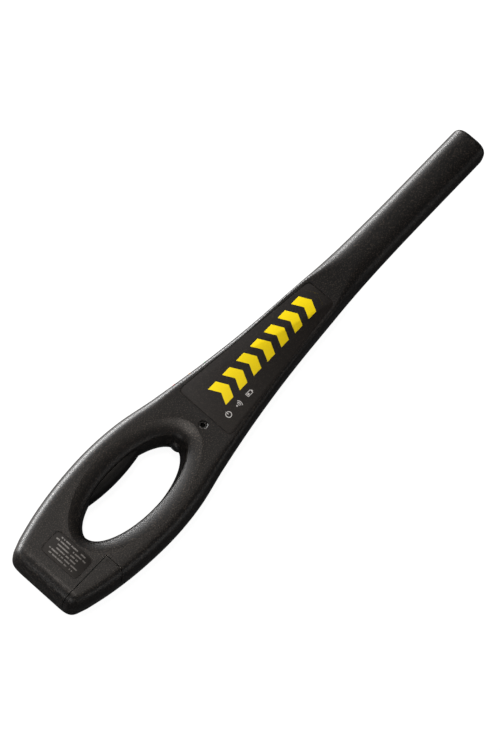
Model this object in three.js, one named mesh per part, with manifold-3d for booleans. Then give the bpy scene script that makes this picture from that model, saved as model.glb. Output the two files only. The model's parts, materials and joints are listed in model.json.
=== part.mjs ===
// A hand-held metal detector wand with a loop handle, lying on its back.
// X runs from the butt to the tip, Y across the wand towards its lamps, and Z up through its face.
// The origin is under the middle of the wand, on the surface it lies on. Sizes are in millimetres.

import * as THREE from 'three';
import { ParametricGeometry } from 'three/addons/geometries/ParametricGeometry.js';
import { mergeVertices } from 'three/addons/utils/BufferGeometryUtils.js';
import Module from 'manifold-3d';

const wasm = await Module();
wasm.setup();

// ---------------------------------------------------------------- driving dimensions

const LENGTH = 470;
const HANDLE_WIDTH = 85.6;
const TUBE_WIDTH = 29.1;
const THICKNESS = 34;
const TUBE_THICKNESS = 28;
const WALL = 2.4;
const CLEARANCE = 0.3;
const CONTACT_GAP = 0.1;

// The case: roundings of its ends, and the roll-over of its long edges.
const BUTT_CORNER = 6;
const BUTT_ROLL = 9.2;
const BUTT_DROP = 11;
const TIP_ROUND = 4.5;
const HANDLE_ROLL = 10;
const NECK_ROLL = 6.8;
const LABEL_ROLL = 4.2;
const ROLL_POWER = 3;
const BUTT_POWER = 2.2;

// The hand hole: its half sizes at the parting plane, the draft of its wall and its flared lip,
// which is widest towards the tip.
const HOLE_FROM_BUTT = 92.9;
const HOLE_HALF_LENGTH = 46;
const HOLE_HALF_WIDTH = 18.8;
const HOLE_WALL_HEIGHT = 10.5;
const HOLE_END_DRAFT = 3;
const HOLE_SIDE_DRAFT = 1.2;
const LIP_TIP_FLARE = 13.3;
const LIP_BUTT_FLARE = 9;
const LIP_SIDE_FLARE = 11.5;

// The label on the neck, and the rating plate by the butt.
const LABEL_FROM_BUTT = 166.5;
const LABEL_LENGTH = 127;
const LABEL_REAR_HALF_WIDTH = 24;
const LABEL_TIP_HALF_WIDTH = 12.3;
const LABEL_CORNER = 3;
const PLATE_FROM_BUTT = 15.5;
const PLATE_LENGTH = 18.5;
const PLATE_WIDTH = 31.9;
const PLATE_CORNER = 3;
const LABEL_THICKNESS = 0.4;
const LABEL_RECESS = 0.6;

// The battery door, the battery and its snap.
const DOOR_EDGE_Y = -20;
const DOOR_LENGTH = 42.7;
const DOOR_CORNER = 8;
const DOOR_SHOULDER_Y = -31;
const DOOR_SEAM = 0.35;
const DOOR_TONGUE = 1.2;
const DOOR_TONGUE_REACH = 3;
const DOOR_NOTCH_RADIUS = 1.6;
const DOOR_NOTCH_DEPTH = 0.5;
const BATTERY_LENGTH = 46;
const BATTERY_DEPTH = 17.5;
const BATTERY_HEIGHT = 26.5;
const BATTERY_CORNER = 3;
const BATTERY_EDGE_MARGIN = 4.6;
const BATTERY_END_MARGIN = 7.3;
const TERMINAL_HEIGHT = 2.5;
const TERMINAL_RADIUS = 3;
const TERMINAL_SPACING = 12.7;
const SNAP_THICKNESS = 3.6;

// The screws and their bosses.
const SCREW_LENGTH = 18;
const SCREW_RADIUS = 1.25;
const SCREW_HEAD_RADIUS = 2.8;
const SCREW_HEAD_HEIGHT = 2;
const SCREW_SEAT = 4;
const BOSS_RADIUS = 5;
const FRONT_BOSS_RADIUS = 3.4;

// The wires.
const WIRE_RADIUS = 0.6;
const WIRE_ROOM = 0.5;

// The circuit board and what stands on it.
const BOARD_BOTTOM = 8.4;
const BOARD_THICKNESS = 1.6;
const BOARD_FROM_BUTT = 151;
const BOARD_LENGTH = 140;
const SPEAKER_FROM_BUTT = 230;
const SPEAKER_RADIUS = 13.3;
const SPEAKER_HEIGHT = 4.2;
const GASKET_THICKNESS = 0.8;
const SLOT_COUNT = 5;
const SLOT_PITCH = 4;
const SLOT_HALF_WIDTH = 0.9;
const SLOT_HALF_LENGTH = 7;
const BOARD_POST_RADIUS = 2.2;

// The push button in the end wall of the hand hole, its switch, the jack and the lamps.
const BUTTON_Y = 1;
const BUTTON_RADIUS = 5;
const BUTTON_PROUD = 1.6;
const BUTTON_FLANGE_RADIUS = 6.4;
const BUTTON_FLANGE = 1;
const BUTTON_TRAVEL = 1.5;
const BUTTON_STEM_RADIUS = 1.5;
const SWITCH_SIZE = 6;
const SWITCH_DEPTH = 2.6;
const SWITCH_PLUNGER = 0.7;
const SWITCH_ON_BOARD = 3.7;
const JACK_FROM_BUTT = 159.6;
const JACK_Y = -4.8;
const JACK_RADIUS = 3.6;
const JACK_NOSE_RADIUS = 2.7;
const JACK_BORE_RADIUS = 1.8;
const JACK_DEPTH = 14;
const LAMP_FROM_BUTT = 171;
const LAMP_SPACING = 14;
const LAMP_RISE = 4.5;
const LENS_RADIUS = 1.8;
const LENS_FLANGE_RADIUS = 2.7;
const LENS_FLANGE = 1;
const LENS_PROUD = 0.8;
const LED_RADIUS = 1.5;
const LED_LENGTH = 5;

// The finger pad on the long wall of the hand hole.
const PAD_REACH = 5.7;
const PAD_BOW = 2.4;
const PAD_HALF_LENGTH = 26.5;
const PAD_HALF_HEIGHT = 9.5;
const PAD_TAB_HALF_LENGTH = 4;
const PAD_TAB_HALF_HEIGHT = 1.5;
const PAD_TAB_SPREAD = 0.55;

// The vibration motor.
const MOTOR_FROM_BUTT = 35;
const MOTOR_Y = 19.5;
const MOTOR_RADIUS = 5;
const MOTOR_LENGTH = 12;
const MOTOR_SHAFT_RADIUS = 1;
const MOTOR_WEIGHT_RADIUS = 4.5;
const MOTOR_WEIGHT_LENGTH = 4;

// The coil in the tube.
const COIL_FROM_BUTT = 316;
const COIL_TIP_MARGIN = 14;
const FORMER_HALF_WIDTH = 9.4;
const FORMER_THICKNESS = 4;
const WINDING_THICKNESS = 1.6;
const SENSE_OUTER_HALF = 8.4;
const SENSE_INNER_HALF = 5.2;
const SENSE_HEIGHT = 2.5;

// ---------------------------------------------------------------- derived places

const BUTT_X = -LENGTH / 2;
const TIP_X = LENGTH / 2;
const MID_Z = THICKNESS / 2;
const HALF_SEAM = CLEARANCE / 2;
const HOLE_X = BUTT_X + HOLE_FROM_BUTT;
const LABEL_X = BUTT_X + LABEL_FROM_BUTT;
const BOARD_X = BUTT_X + BOARD_FROM_BUTT;
const BOARD_TOP = BOARD_BOTTOM + BOARD_THICKNESS;
const SPEAKER_X = BUTT_X + SPEAKER_FROM_BUTT;
const JACK_X = BUTT_X + JACK_FROM_BUTT;
const MOTOR_X = BUTT_X + MOTOR_FROM_BUTT;
const COIL_X = BUTT_X + COIL_FROM_BUTT;
const COIL_END = TIP_X - COIL_TIP_MARGIN;
const NECK_END = LABEL_FROM_BUTT + LABEL_LENGTH;
const TAPER_LENGTH = 60;

// The wires run beside the hand hole, between its wall and the screw bosses of the bars.
const WIRE_LANE_Y = HOLE_HALF_WIDTH + HOLE_SIDE_DRAFT + WALL + WIRE_RADIUS + WIRE_ROOM;
const BAR_SCREW_Y = WIRE_LANE_Y + WIRE_RADIUS + WIRE_ROOM + BOSS_RADIUS;

// Screws, by name: how far from the butt, and how far from the middle line.
const SCREWS = {
  case_screw_butt: [21, 4],
  case_screw_bar_left: [HOLE_FROM_BUTT, BAR_SCREW_Y],
  case_screw_bar_right: [HOLE_FROM_BUTT, -BAR_SCREW_Y],
  case_screw_neck_left: [161, 22],
  case_screw_neck_right: [161, -22],
  case_screw_shoulder: [301, 0],
};

// ---------------------------------------------------------------- helpers

// A closed solid from a three.js geometry. Shared corners are merged, and faces that shrink
// to nothing at a pole are left out.
function solid(source) {
  const geometry = source.clone();
  geometry.deleteAttribute('normal');
  geometry.deleteAttribute('uv');
  const merged = mergeVertices(geometry, 1e-4);
  const kept = [];
  const index = merged.index.array;
  for (let i = 0; i < index.length; i += 3) {
    const [a, b, c] = [index[i], index[i + 1], index[i + 2]];
    if (a !== b && b !== c && c !== a) kept.push(a, b, c);
  }
  const mesh = new wasm.Mesh({
    numProp: 3,
    vertProperties: new Float32Array(merged.attributes.position.array),
    triVerts: new Uint32Array(outward(merged.attributes.position, kept)),
  });
  return new wasm.Manifold(mesh);
}

// The corners of the triangles, turned round where the surface encloses a negative volume.
function outward(position, index) {
  const [a, b, c] = [new THREE.Vector3(), new THREE.Vector3(), new THREE.Vector3()];
  let volume = 0;
  for (let i = 0; i < index.length; i += 3) {
    a.fromBufferAttribute(position, index[i]);
    b.fromBufferAttribute(position, index[i + 1]);
    c.fromBufferAttribute(position, index[i + 2]);
    volume += a.dot(b.cross(c));
  }
  return volume < 0 ? index.slice().reverse() : index;
}

// A three.js geometry from a solid.
function geometryOf(body) {
  const mesh = body.getMesh();
  const geometry = new THREE.BufferGeometry();
  geometry.setAttribute('position', new THREE.BufferAttribute(mesh.vertProperties, 3));
  geometry.setIndex(new THREE.BufferAttribute(mesh.triVerts, 1));
  geometry.computeVertexNormals();
  return geometry;
}

// A box between two corners.
function box(x0, x1, y0, y1, z0, z1) {
  const geometry = new THREE.BoxGeometry(x1 - x0, y1 - y0, z1 - z0);
  geometry.translate((x0 + x1) / 2, (y0 + y1) / 2, (z0 + z1) / 2);
  return geometry;
}

// A round bar standing on z0.
function post(x, y, z0, z1, radius, sides = 16) {
  const geometry = new THREE.CylinderGeometry(radius, radius, z1 - z0, sides);
  geometry.rotateX(Math.PI / 2);
  geometry.translate(x, y, (z0 + z1) / 2);
  return geometry;
}

// A turned piece: a profile of [radius, height] pairs round the Z axis.
function turned(profile, sides = 16) {
  const geometry = new THREE.LatheGeometry(profile.map(([r, z]) => new THREE.Vector2(r, z)), sides);
  geometry.rotateX(Math.PI / 2);
  return geometry;
}

// A flat plate between two heights, cut to a shape.
function plate(shape, z0, z1, curveSegments = 6) {
  const settings = { depth: z1 - z0, bevelEnabled: false, curveSegments };
  const geometry = new THREE.ExtrudeGeometry(shape, settings);
  geometry.translate(0, 0, z0);
  return geometry;
}

// A rectangle with rounded corners.
function roundedRectangle(x0, x1, y0, y1, r, shape = new THREE.Shape()) {
  shape.moveTo(x0 + r, y0);
  shape.lineTo(x1 - r, y0);
  shape.absarc(x1 - r, y0 + r, r, -Math.PI / 2, 0);
  shape.lineTo(x1, y1 - r);
  shape.absarc(x1 - r, y1 - r, r, 0, Math.PI / 2);
  shape.lineTo(x0 + r, y1);
  shape.absarc(x0 + r, y1 - r, r, Math.PI / 2, Math.PI);
  shape.lineTo(x0, y0 + r);
  shape.absarc(x0 + r, y0 + r, r, Math.PI, Math.PI * 1.5);
  return shape;
}

// A racetrack with round ends, from x0 to x1.
function racetrack(x0, x1, halfWidth, shape = new THREE.Shape()) {
  shape.moveTo(x0 + halfWidth, -halfWidth);
  shape.lineTo(x1 - halfWidth, -halfWidth);
  shape.absarc(x1 - halfWidth, 0, halfWidth, -Math.PI / 2, Math.PI / 2);
  shape.lineTo(x0 + halfWidth, halfWidth);
  shape.absarc(x0 + halfWidth, 0, halfWidth, Math.PI / 2, Math.PI * 1.5);
  return shape;
}

// A racetrack ring.
function racetrackRing(x0, x1, outerHalf, innerHalf, z0, z1) {
  const inset = outerHalf - innerHalf;
  const ring = racetrack(x0, x1, outerHalf);
  ring.holes.push(racetrack(x0 + inset, x1 - inset, innerHalf, new THREE.Path()));
  return plate(ring, z0, z1, 8);
}

// A wire along a smooth curve through the points.
function wire(points, radius, steps) {
  const route = new THREE.CatmullRomCurve3(points.map(([x, y, z]) => new THREE.Vector3(x, y, z)));
  const section = new THREE.Shape();
  section.absarc(0, 0, radius, 0, Math.PI * 2);
  return new THREE.ExtrudeGeometry(section, { steps, extrudePath: route, curveSegments: 3 });
}

// A closed surface through a list of rings, each a list of points. The first and the last ring
// are closed by a fan round their middle.
function closedSurface(rings) {
  const count = rings[0].length;
  const middle = (ring) => ring.reduce((sum, p) => sum.add(p), new THREE.Vector3()).divideScalar(count);
  const rows = [Array(count).fill(middle(rings[0])), ...rings, Array(count).fill(middle(rings.at(-1)))];
  const stacks = rows.length - 1;
  const place = (u, v, target) => target.copy(rows[Math.round(v * stacks)][Math.round(u * count) % count]);
  return new ParametricGeometry(place, count, stacks);
}

// ---------------------------------------------------------------- the outer form

// How far the side of the wand swells from the tube's width to the handle's, at each distance
// from the butt: 0 is the tube and 1 is the widest place of the handle.
const SWELL_AT = [0, 15, 35, 61, 93, 121, 153, 195, 245, 295, 345, 400];
const SWELL = [0.512, 0.66, 0.823, 0.95, 1, 0.922, 0.692, 0.441, 0.227, 0.094, 0.023, 0];
const swellCurve = new THREE.CubicInterpolant(SWELL_AT, SWELL, 1, new Float32Array(1));

// How wide the roll-over of the long edges is, seen from the face.
const HOLE_END = HOLE_FROM_BUTT + HOLE_HALF_LENGTH;
const ROLL_AT = [0, HOLE_END, LABEL_FROM_BUTT, NECK_END - 70, NECK_END, NECK_END + 14, NECK_END + 40];
const ROLL = [HANDLE_ROLL, HANDLE_ROLL, NECK_ROLL, 5.2, LABEL_ROLL, 8, TUBE_WIDTH / 2];
const rollCurve = new THREE.CubicInterpolant(ROLL_AT, ROLL, 1, new Float32Array(1));

// Half the wand's width at the parting plane, before its ends are rounded.
function sideOf(x) {
  const swell = swellCurve.evaluate(x - BUTT_X)[0];
  return (TUBE_WIDTH + swell * (HANDLE_WIDTH - TUBE_WIDTH)) / 2;
}

// Half the wand's thickness, before its ends are rounded.
function riseOf(x) {
  const taper = THREE.MathUtils.smoothstep(x - BUTT_X, NECK_END, NECK_END + TAPER_LENGTH);
  return THREE.MathUtils.lerp(THICKNESS, TUBE_THICKNESS, taper) / 2;
}

// How much a rounded end has fallen back, at a share t of the way along its rounding.
function fallBack(t, depth, power) {
  const rest = 1 - THREE.MathUtils.clamp(t, 0, 1);
  return depth * (1 - (1 - rest ** power) ** (1 / power));
}

// The section of the wand at x: half width, half height and roll, for a skin set in by inset.
function sectionAt(x, inset) {
  const fromButt = x - BUTT_X - inset;
  const fromTip = TIP_X - inset - x;
  let side = sideOf(x) - inset;
  side -= fallBack(fromButt / (BUTT_CORNER - inset), BUTT_CORNER - inset, 2);
  side -= fallBack(fromTip / (TIP_ROUND - inset), TIP_ROUND - inset, 2);
  let rise = riseOf(x) - inset;
  rise -= fallBack(fromButt / (BUTT_ROLL - inset), BUTT_DROP, BUTT_POWER);
  rise -= fallBack(fromTip / (TIP_ROUND - inset), TIP_ROUND - inset, 2);
  const roll = Math.min(Math.max(rollCurve.evaluate(x - BUTT_X)[0] - inset, 1), side - 1);
  return { side, rise, roll };
}

// One ring of the skin at x, a rounded box on its flat top and bottom.
function ringAt(x, inset, steps) {
  const { side, rise, roll } = sectionAt(x, inset);
  const ring = [];
  const corner = (ySign, zSign, k) => {
    const turn = (k / steps) * (Math.PI / 2);
    const y = side - roll + roll * Math.cos(turn) ** (2 / ROLL_POWER);
    const z = rise * Math.sin(turn) ** (2 / ROLL_POWER);
    ring.push(new THREE.Vector3(x, ySign * y, MID_Z + zSign * z));
  };
  for (let k = 0; k <= steps; k++) corner(1, 1, k);
  for (let k = steps; k >= 0; k--) corner(-1, 1, k);
  for (let k = 1; k <= steps; k++) corner(-1, -1, k);
  for (let k = steps; k > 0; k--) corner(1, -1, k);
  return ring;
}

// The skin of the whole wand, set in by inset: 0 is the outside, WALL is the inside. A corner of
// the section is turned in cornerSteps, and the length between the rounded ends in bodySteps.
function skin(inset, cornerSteps, bodySteps) {
  const buttSteps = 4;
  const tipSteps = 3;
  const start = BUTT_X + inset;
  const end = TIP_X - inset;
  const buttEnd = start + BUTT_ROLL - inset;
  const tipStart = end - (TIP_ROUND - inset);
  const xs = [];
  for (let k = 0; k < buttSteps; k++) {
    xs.push(start + (buttEnd - start) * (1 - Math.cos((k / buttSteps) * (Math.PI / 2))));
  }
  for (let k = 0; k < bodySteps; k++) {
    xs.push(THREE.MathUtils.lerp(buttEnd, tipStart, k / bodySteps));
  }
  for (let k = 0; k <= tipSteps; k++) {
    xs.push(tipStart + (end - tipStart) * Math.sin((k / tipSteps) * (Math.PI / 2)));
  }
  return closedSurface(xs.map((x) => ringAt(x, inset, cornerSteps)));
}

// How far the hand hole has opened at a height from the parting plane, at its two ends and its
// sides.
function holeOpening(height) {
  const drafted = Math.min(height / HOLE_WALL_HEIGHT, 1);
  const lip = THREE.MathUtils.clamp((height - HOLE_WALL_HEIGHT) / (MID_Z - HOLE_WALL_HEIGHT), 0, 1);
  const flare = 1 - Math.sqrt(1 - lip * lip);
  return {
    tip: HOLE_END_DRAFT * drafted + LIP_TIP_FLARE * flare,
    butt: HOLE_END_DRAFT * drafted + LIP_BUTT_FLARE * flare,
    side: HOLE_SIDE_DRAFT * drafted + LIP_SIDE_FLARE * flare,
  };
}

// The space of the hand hole, grown by a wall.
function handHole(grow, sides, lipSteps) {
  const heights = [0, HOLE_WALL_HEIGHT];
  for (let k = 1; k <= lipSteps; k++) {
    const share = Math.sin((k / lipSteps) * (Math.PI / 2));
    heights.push(HOLE_WALL_HEIGHT + (MID_Z - HOLE_WALL_HEIGHT) * share);
  }
  heights.push(MID_Z + 1);
  const levels = [...heights.slice(1).reverse().map((h) => -h), ...heights];
  const ring = (level) => {
    const opening = holeOpening(Math.abs(level));
    const halfWidth = HOLE_HALF_WIDTH + opening.side + grow;
    return Array.from({ length: sides }, (_, k) => {
      const turn = (k / sides) * Math.PI * 2;
      const along = Math.cos(turn);
      const halfLength = HOLE_HALF_LENGTH + (along > 0 ? opening.tip : opening.butt) + grow;
      return new THREE.Vector3(HOLE_X + halfLength * along, halfWidth * Math.sin(turn), MID_Z + level);
    });
  };
  return closedSurface(levels.map(ring));
}

// Where the inside of the side wall is, at x and a height from the parting plane.
function insideAt(x, height) {
  const { side, rise, roll } = sectionAt(x, WALL);
  const turn = Math.asin(Math.min(Math.abs(height) / rise, 1) ** (ROLL_POWER / 2));
  return side - roll + roll * Math.cos(turn) ** (2 / ROLL_POWER);
}

// ---------------------------------------------------------------- places that follow the form

// The battery stands on edge along the side wall, turned to follow it.
const batteryReach = BATTERY_LENGTH + TERMINAL_HEIGHT;
const batteryButtX = BUTT_X + WALL + BATTERY_END_MARGIN;
const batteryTurn = -Math.atan2(
  sideOf(batteryButtX + batteryReach) - sideOf(batteryButtX),
  batteryReach,
);
const batteryPlace = new THREE.Group();
batteryPlace.rotation.z = batteryTurn;
batteryPlace.position.set(
  batteryButtX,
  -(sideOf(batteryButtX) - BATTERY_EDGE_MARGIN) + BATTERY_DEPTH * Math.cos(batteryTurn),
  MID_Z,
);
batteryPlace.updateMatrix();

// The button's flange sits against the inside of the hole's end wall, and its stem reaches back
// to the switch at the rear of the board.
const buttonWallX = HOLE_X + HOLE_HALF_LENGTH;
const buttonFlangeX = buttonWallX + holeOpening(BUTTON_FLANGE_RADIUS).tip + WALL + CLEARANCE;
const switchBack = BOARD_X + SWITCH_ON_BOARD;
const switchFace = switchBack - SWITCH_DEPTH - SWITCH_PLUNGER;
const buttonStemEnd = switchFace - BUTTON_TRAVEL - CONTACT_GAP;

// Each lamp's lens looks out through the side wall.
const LAMPS = ['red', 'amber', 'green'].map((colour, k) => {
  const x = BUTT_X + LAMP_FROM_BUTT + k * LAMP_SPACING;
  const wallInside = insideAt(x, LAMP_RISE + LENS_FLANGE_RADIUS) - CLEARANCE;
  return { colour, x, flangeY: wallInside - LENS_FLANGE - CLEARANCE, outY: sideOf(x) + LENS_PROUD };
});

// ---------------------------------------------------------------- the case

// The region of the battery door seen from the face: straight along its inner edge and across,
// then curling back round a rounded corner to the parting line.
function doorRegion(grow) {
  const x1 = BUTT_X + DOOR_LENGTH + grow;
  const y0 = DOOR_EDGE_Y + grow;
  const r = DOOR_CORNER + grow;
  const region = new THREE.Shape();
  const far = -HANDLE_WIDTH;
  region.moveTo(BUTT_X - 10, y0);
  region.lineTo(BUTT_X - 10, far);
  region.lineTo(x1 - 2 * DOOR_CORNER, far);
  region.lineTo(x1 - r * 0.9, DOOR_SHOULDER_Y - DOOR_CORNER * 1.3);
  region.absarc(x1 - r, DOOR_SHOULDER_Y, r, -Math.PI / 5, 0);
  region.lineTo(x1, y0);
  return plate(region, MID_Z - 1, THICKNESS + 2);
}

// The space that the battery fills, with room round it.
function batteryBay() {
  const room = CLEARANCE + 0.1;
  const halfHeight = BATTERY_HEIGHT / 2 + room;
  const shape = roundedRectangle(-halfHeight, halfHeight, -BATTERY_DEPTH - room, room, BATTERY_CORNER);
  const geometry = plate(shape, -room, batteryReach + room, 3);
  geometry.rotateY(Math.PI / 2);
  geometry.applyMatrix4(batteryPlace.matrix);
  return solid(geometry);
}

// The case before it is split: a hollow skin, with a wall round the hand hole.
function wholeCase() {
  const hollow = solid(skin(WALL, 3, 16)).subtract(solid(handHole(WALL, 24, 2)));
  const outside = solid(skin(0, 4, 26));
  return outside.subtract(hollow).subtract(solid(handHole(0, 36, 3))).subtract(batteryBay());
}

// A tall slab that holds everything on one side of the parting plane.
function slab(z0, z1) {
  return solid(box(BUTT_X - 5, TIP_X + 5, -HANDLE_WIDTH, HANDLE_WIDTH, z0, z1));
}

function labelShape(grow) {
  const x0 = LABEL_X - grow;
  const x1 = LABEL_X + LABEL_LENGTH + grow;
  const rear = LABEL_REAR_HALF_WIDTH + grow;
  const tip = LABEL_TIP_HALF_WIDTH + grow;
  const r = LABEL_CORNER;
  const shape = new THREE.Shape();
  shape.moveTo(x0, -rear + r);
  shape.quadraticCurveTo(x0, -rear, x0 + r, -rear + r * 0.1);
  shape.lineTo(x1 - r, -tip);
  shape.quadraticCurveTo(x1, -tip, x1, -tip + r);
  shape.lineTo(x1, tip - r);
  shape.quadraticCurveTo(x1, tip, x1 - r, tip);
  shape.lineTo(x0 + r, rear - r * 0.1);
  shape.quadraticCurveTo(x0, rear, x0, rear - r);
  return shape;
}

function plateShape(grow) {
  const x0 = BUTT_X + PLATE_FROM_BUTT;
  const half = PLATE_WIDTH / 2 + grow;
  return roundedRectangle(x0 - grow, x0 + PLATE_LENGTH + grow, -half, half, PLATE_CORNER + grow);
}

// A round hole through the side wall for a lens, looking along Y.
function lensBore(lamp) {
  const reach = 12;
  const geometry = new THREE.CylinderGeometry(LENS_RADIUS + CLEARANCE, LENS_RADIUS + CLEARANCE, reach, 16);
  geometry.translate(lamp.x, lamp.outY, MID_Z + LAMP_RISE);
  return solid(geometry);
}

// The bore of the push button through the end wall of the hand hole, along X.
function buttonBore() {
  const geometry = post(0, 0, 0, 2 * WALL + 8, BUTTON_RADIUS + CLEARANCE, 24);
  geometry.rotateY(Math.PI / 2);
  geometry.translate(buttonWallX - 4, BUTTON_Y, MID_Z);
  return solid(geometry);
}

// The slots in the hole's wall that take the tabs of the finger pad.
function padTabs(grow) {
  const tabs = [-1, 1].map((end) => {
    const x = HOLE_X + end * PAD_HALF_LENGTH * PAD_TAB_SPREAD;
    const y0 = HOLE_HALF_WIDTH - PAD_REACH / 2;
    const y1 = HOLE_HALF_WIDTH + WALL + 1;
    const reach = PAD_TAB_HALF_LENGTH + grow;
    const rise = PAD_TAB_HALF_HEIGHT + grow;
    return solid(box(x - reach, x + reach, y0, y1 + grow, MID_Z - rise, MID_Z + rise));
  });
  return tabs[0].add(tabs[1]);
}

// Every cut that reaches into both halves.
function sharedCuts() {
  let cuts = buttonBore().add(padTabs(CLEARANCE));
  for (const lamp of LAMPS) cuts = cuts.add(lensBore(lamp));
  return cuts;
}

function frontHalf() {
  let half = wholeCase().intersect(slab(MID_Z + HALF_SEAM, THICKNESS + 5));
  for (const [fromButt, y] of Object.values(SCREWS)) {
    const x = BUTT_X + fromButt;
    const top = MID_Z + riseOf(x) - WALL + 0.5;
    half = half.add(solid(post(x, y, MID_Z + HALF_SEAM, top, FRONT_BOSS_RADIUS, 16)));
    const depth = SCREW_SEAT + SCREW_LENGTH + 1;
    half = half.subtract(solid(post(x, y, MID_Z - 1, depth, SCREW_RADIUS + CLEARANCE, 12)));
  }
  return half.subtract(sharedCuts());
}

function doorSolid(half) {
  const inner = THICKNESS - WALL - CONTACT_GAP;
  const x1 = BUTT_X + DOOR_LENGTH;
  const y0 = DOOR_SHOULDER_Y + 5;
  const y1 = DOOR_EDGE_Y - 2;
  const under = solid(box(x1 - 4, x1 + DOOR_TONGUE_REACH, y0, y1, inner - DOOR_TONGUE, inner));
  const root = solid(box(x1 - 4, x1, y0, y1, inner - DOOR_TONGUE, inner + 1));
  const notchX = x1 - DOOR_NOTCH_RADIUS - 1;
  const notchY = DOOR_EDGE_Y - DOOR_NOTCH_RADIUS - 1.9;
  const notch = solid(post(notchX, notchY, THICKNESS - DOOR_NOTCH_DEPTH, THICKNESS + 1, DOOR_NOTCH_RADIUS, 12));
  const door = half.intersect(solid(doorRegion(0))).add(under).add(root);
  return door.subtract(notch).subtract(batteryBay());
}

function frontShell(half) {
  let shell = half.subtract(solid(doorRegion(DOOR_SEAM)));
  shell = shell.subtract(solid(plate(labelShape(CLEARANCE), THICKNESS - LABEL_RECESS, THICKNESS + 1)));
  shell = shell.subtract(solid(plate(plateShape(CLEARANCE), THICKNESS - LABEL_RECESS, THICKNESS + 1)));
  const nose = JACK_NOSE_RADIUS + CLEARANCE;
  shell = shell.subtract(solid(post(JACK_X, JACK_Y, MID_Z + 4, THICKNESS + 1, nose, 20)));
  return shell;
}

// The slots in front of the speaker.
function speakerSlots() {
  let slots = null;
  for (let k = 0; k < SLOT_COUNT; k++) {
    const fromMiddle = k - (SLOT_COUNT - 1) / 2;
    const x = SPEAKER_X + fromMiddle * SLOT_PITCH;
    const reach = SLOT_HALF_LENGTH - Math.abs(fromMiddle);
    const slot = solid(box(x - SLOT_HALF_WIDTH, x + SLOT_HALF_WIDTH, -reach, reach, -1, WALL + 0.5));
    slots = slots ? slots.add(slot) : slot;
  }
  return slots;
}

function backShell() {
  let shell = wholeCase().intersect(slab(-5, MID_Z - HALF_SEAM));
  for (const [fromButt, y] of Object.values(SCREWS)) {
    const x = BUTT_X + fromButt;
    const bottom = MID_Z - riseOf(x);
    shell = shell.add(solid(post(x, y, bottom + WALL - 0.5, MID_Z - HALF_SEAM, BOSS_RADIUS, 20)));
    shell = shell.subtract(solid(post(x, y, -1, MID_Z + 1, SCREW_RADIUS + CLEARANCE, 12)));
    shell = shell.subtract(solid(post(x, y, -1, SCREW_SEAT, SCREW_HEAD_RADIUS + CLEARANCE, 20)));
  }
  for (const [x, y] of boardPosts()) {
    shell = shell.add(solid(post(x, y, WALL - 0.5, BOARD_BOTTOM - CONTACT_GAP, BOARD_POST_RADIUS, 10)));
  }
  for (const x of [COIL_X + 14, (COIL_X + COIL_END) / 2, COIL_END - 14]) {
    const floor = MID_Z - riseOf(x) + WALL;
    const top = MID_Z - FORMER_THICKNESS / 2 - CONTACT_GAP;
    shell = shell.add(solid(box(x - 1, x + 1, -7, 7, floor - 0.5, top)));
  }
  return shell.subtract(speakerSlots()).subtract(sharedCuts());
}

function boardPosts() {
  const rear = BOARD_X + 6;
  const middle = BOARD_X + 50;
  const tip = BOARD_X + BOARD_LENGTH - 12;
  return [[rear, 9], [rear, -9], [middle, 13], [middle, -13], [tip, 6], [tip, -6]];
}

// ---------------------------------------------------------------- trim in the case

// The pad fills the space between the long wall of the hand hole and a shallow bow.
function fingerGripPad() {
  const x0 = HOLE_X - PAD_HALF_LENGTH;
  const x1 = HOLE_X + PAD_HALF_LENGTH;
  const face = HOLE_HALF_WIDTH - PAD_REACH;
  const outer = HOLE_HALF_WIDTH + PAD_REACH;
  const bow = new THREE.Shape();
  bow.moveTo(x0, outer);
  bow.lineTo(x0, face + PAD_BOW);
  bow.quadraticCurveTo(HOLE_X, face - PAD_BOW, x1, face + PAD_BOW);
  bow.lineTo(x1, outer);
  const block = solid(plate(bow, MID_Z - PAD_HALF_HEIGHT, MID_Z + PAD_HALF_HEIGHT, 8));
  return block.intersect(solid(handHole(-CLEARANCE, 36, 3))).add(padTabs(0));
}

// The button is turned round X: a dome, a barrel, a flange inside the wall and a stem.
function triggerButton() {
  const front = buttonWallX - BUTTON_PROUD;
  const back = buttonFlangeX - front;
  const stem = buttonStemEnd - front;
  const profile = [[0, 0]];
  for (let k = 1; k <= 5; k++) {
    const turn = (k / 5) * (Math.PI / 2);
    profile.push([BUTTON_RADIUS * Math.sin(turn), 1.8 * (1 - Math.cos(turn))]);
  }
  profile.push([BUTTON_RADIUS, back], [BUTTON_FLANGE_RADIUS, back]);
  profile.push([BUTTON_FLANGE_RADIUS, back + BUTTON_FLANGE], [BUTTON_STEM_RADIUS, back + BUTTON_FLANGE]);
  profile.push([BUTTON_STEM_RADIUS, stem], [0, stem]);
  const geometry = turned(profile, 20);
  geometry.rotateY(Math.PI / 2);
  geometry.translate(front, BUTTON_Y, MID_Z);
  return solid(geometry);
}

// A tact switch on two legs, with its plunger towards the button.
function triggerSwitch() {
  const half = SWITCH_SIZE / 2;
  const x0 = switchFace + SWITCH_PLUNGER;
  const x1 = switchBack;
  const plunger = post(0, 0, 0, SWITCH_PLUNGER + 0.5, 1.6, 12);
  plunger.rotateY(Math.PI / 2);
  plunger.translate(switchFace, BUTTON_Y, MID_Z);
  let body = solid(box(x0, x1, BUTTON_Y - half, BUTTON_Y + half, MID_Z - half, MID_Z + half));
  body = body.add(solid(plunger));
  for (const y of [BUTTON_Y - half + 0.6, BUTTON_Y + half - 0.6]) {
    const leg = box(x1 - 0.8, x1 - 0.2, y - 0.4, y + 0.4, BOARD_TOP + CONTACT_GAP, MID_Z - half + 0.5);
    body = body.add(solid(leg));
  }
  return body;
}

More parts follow.
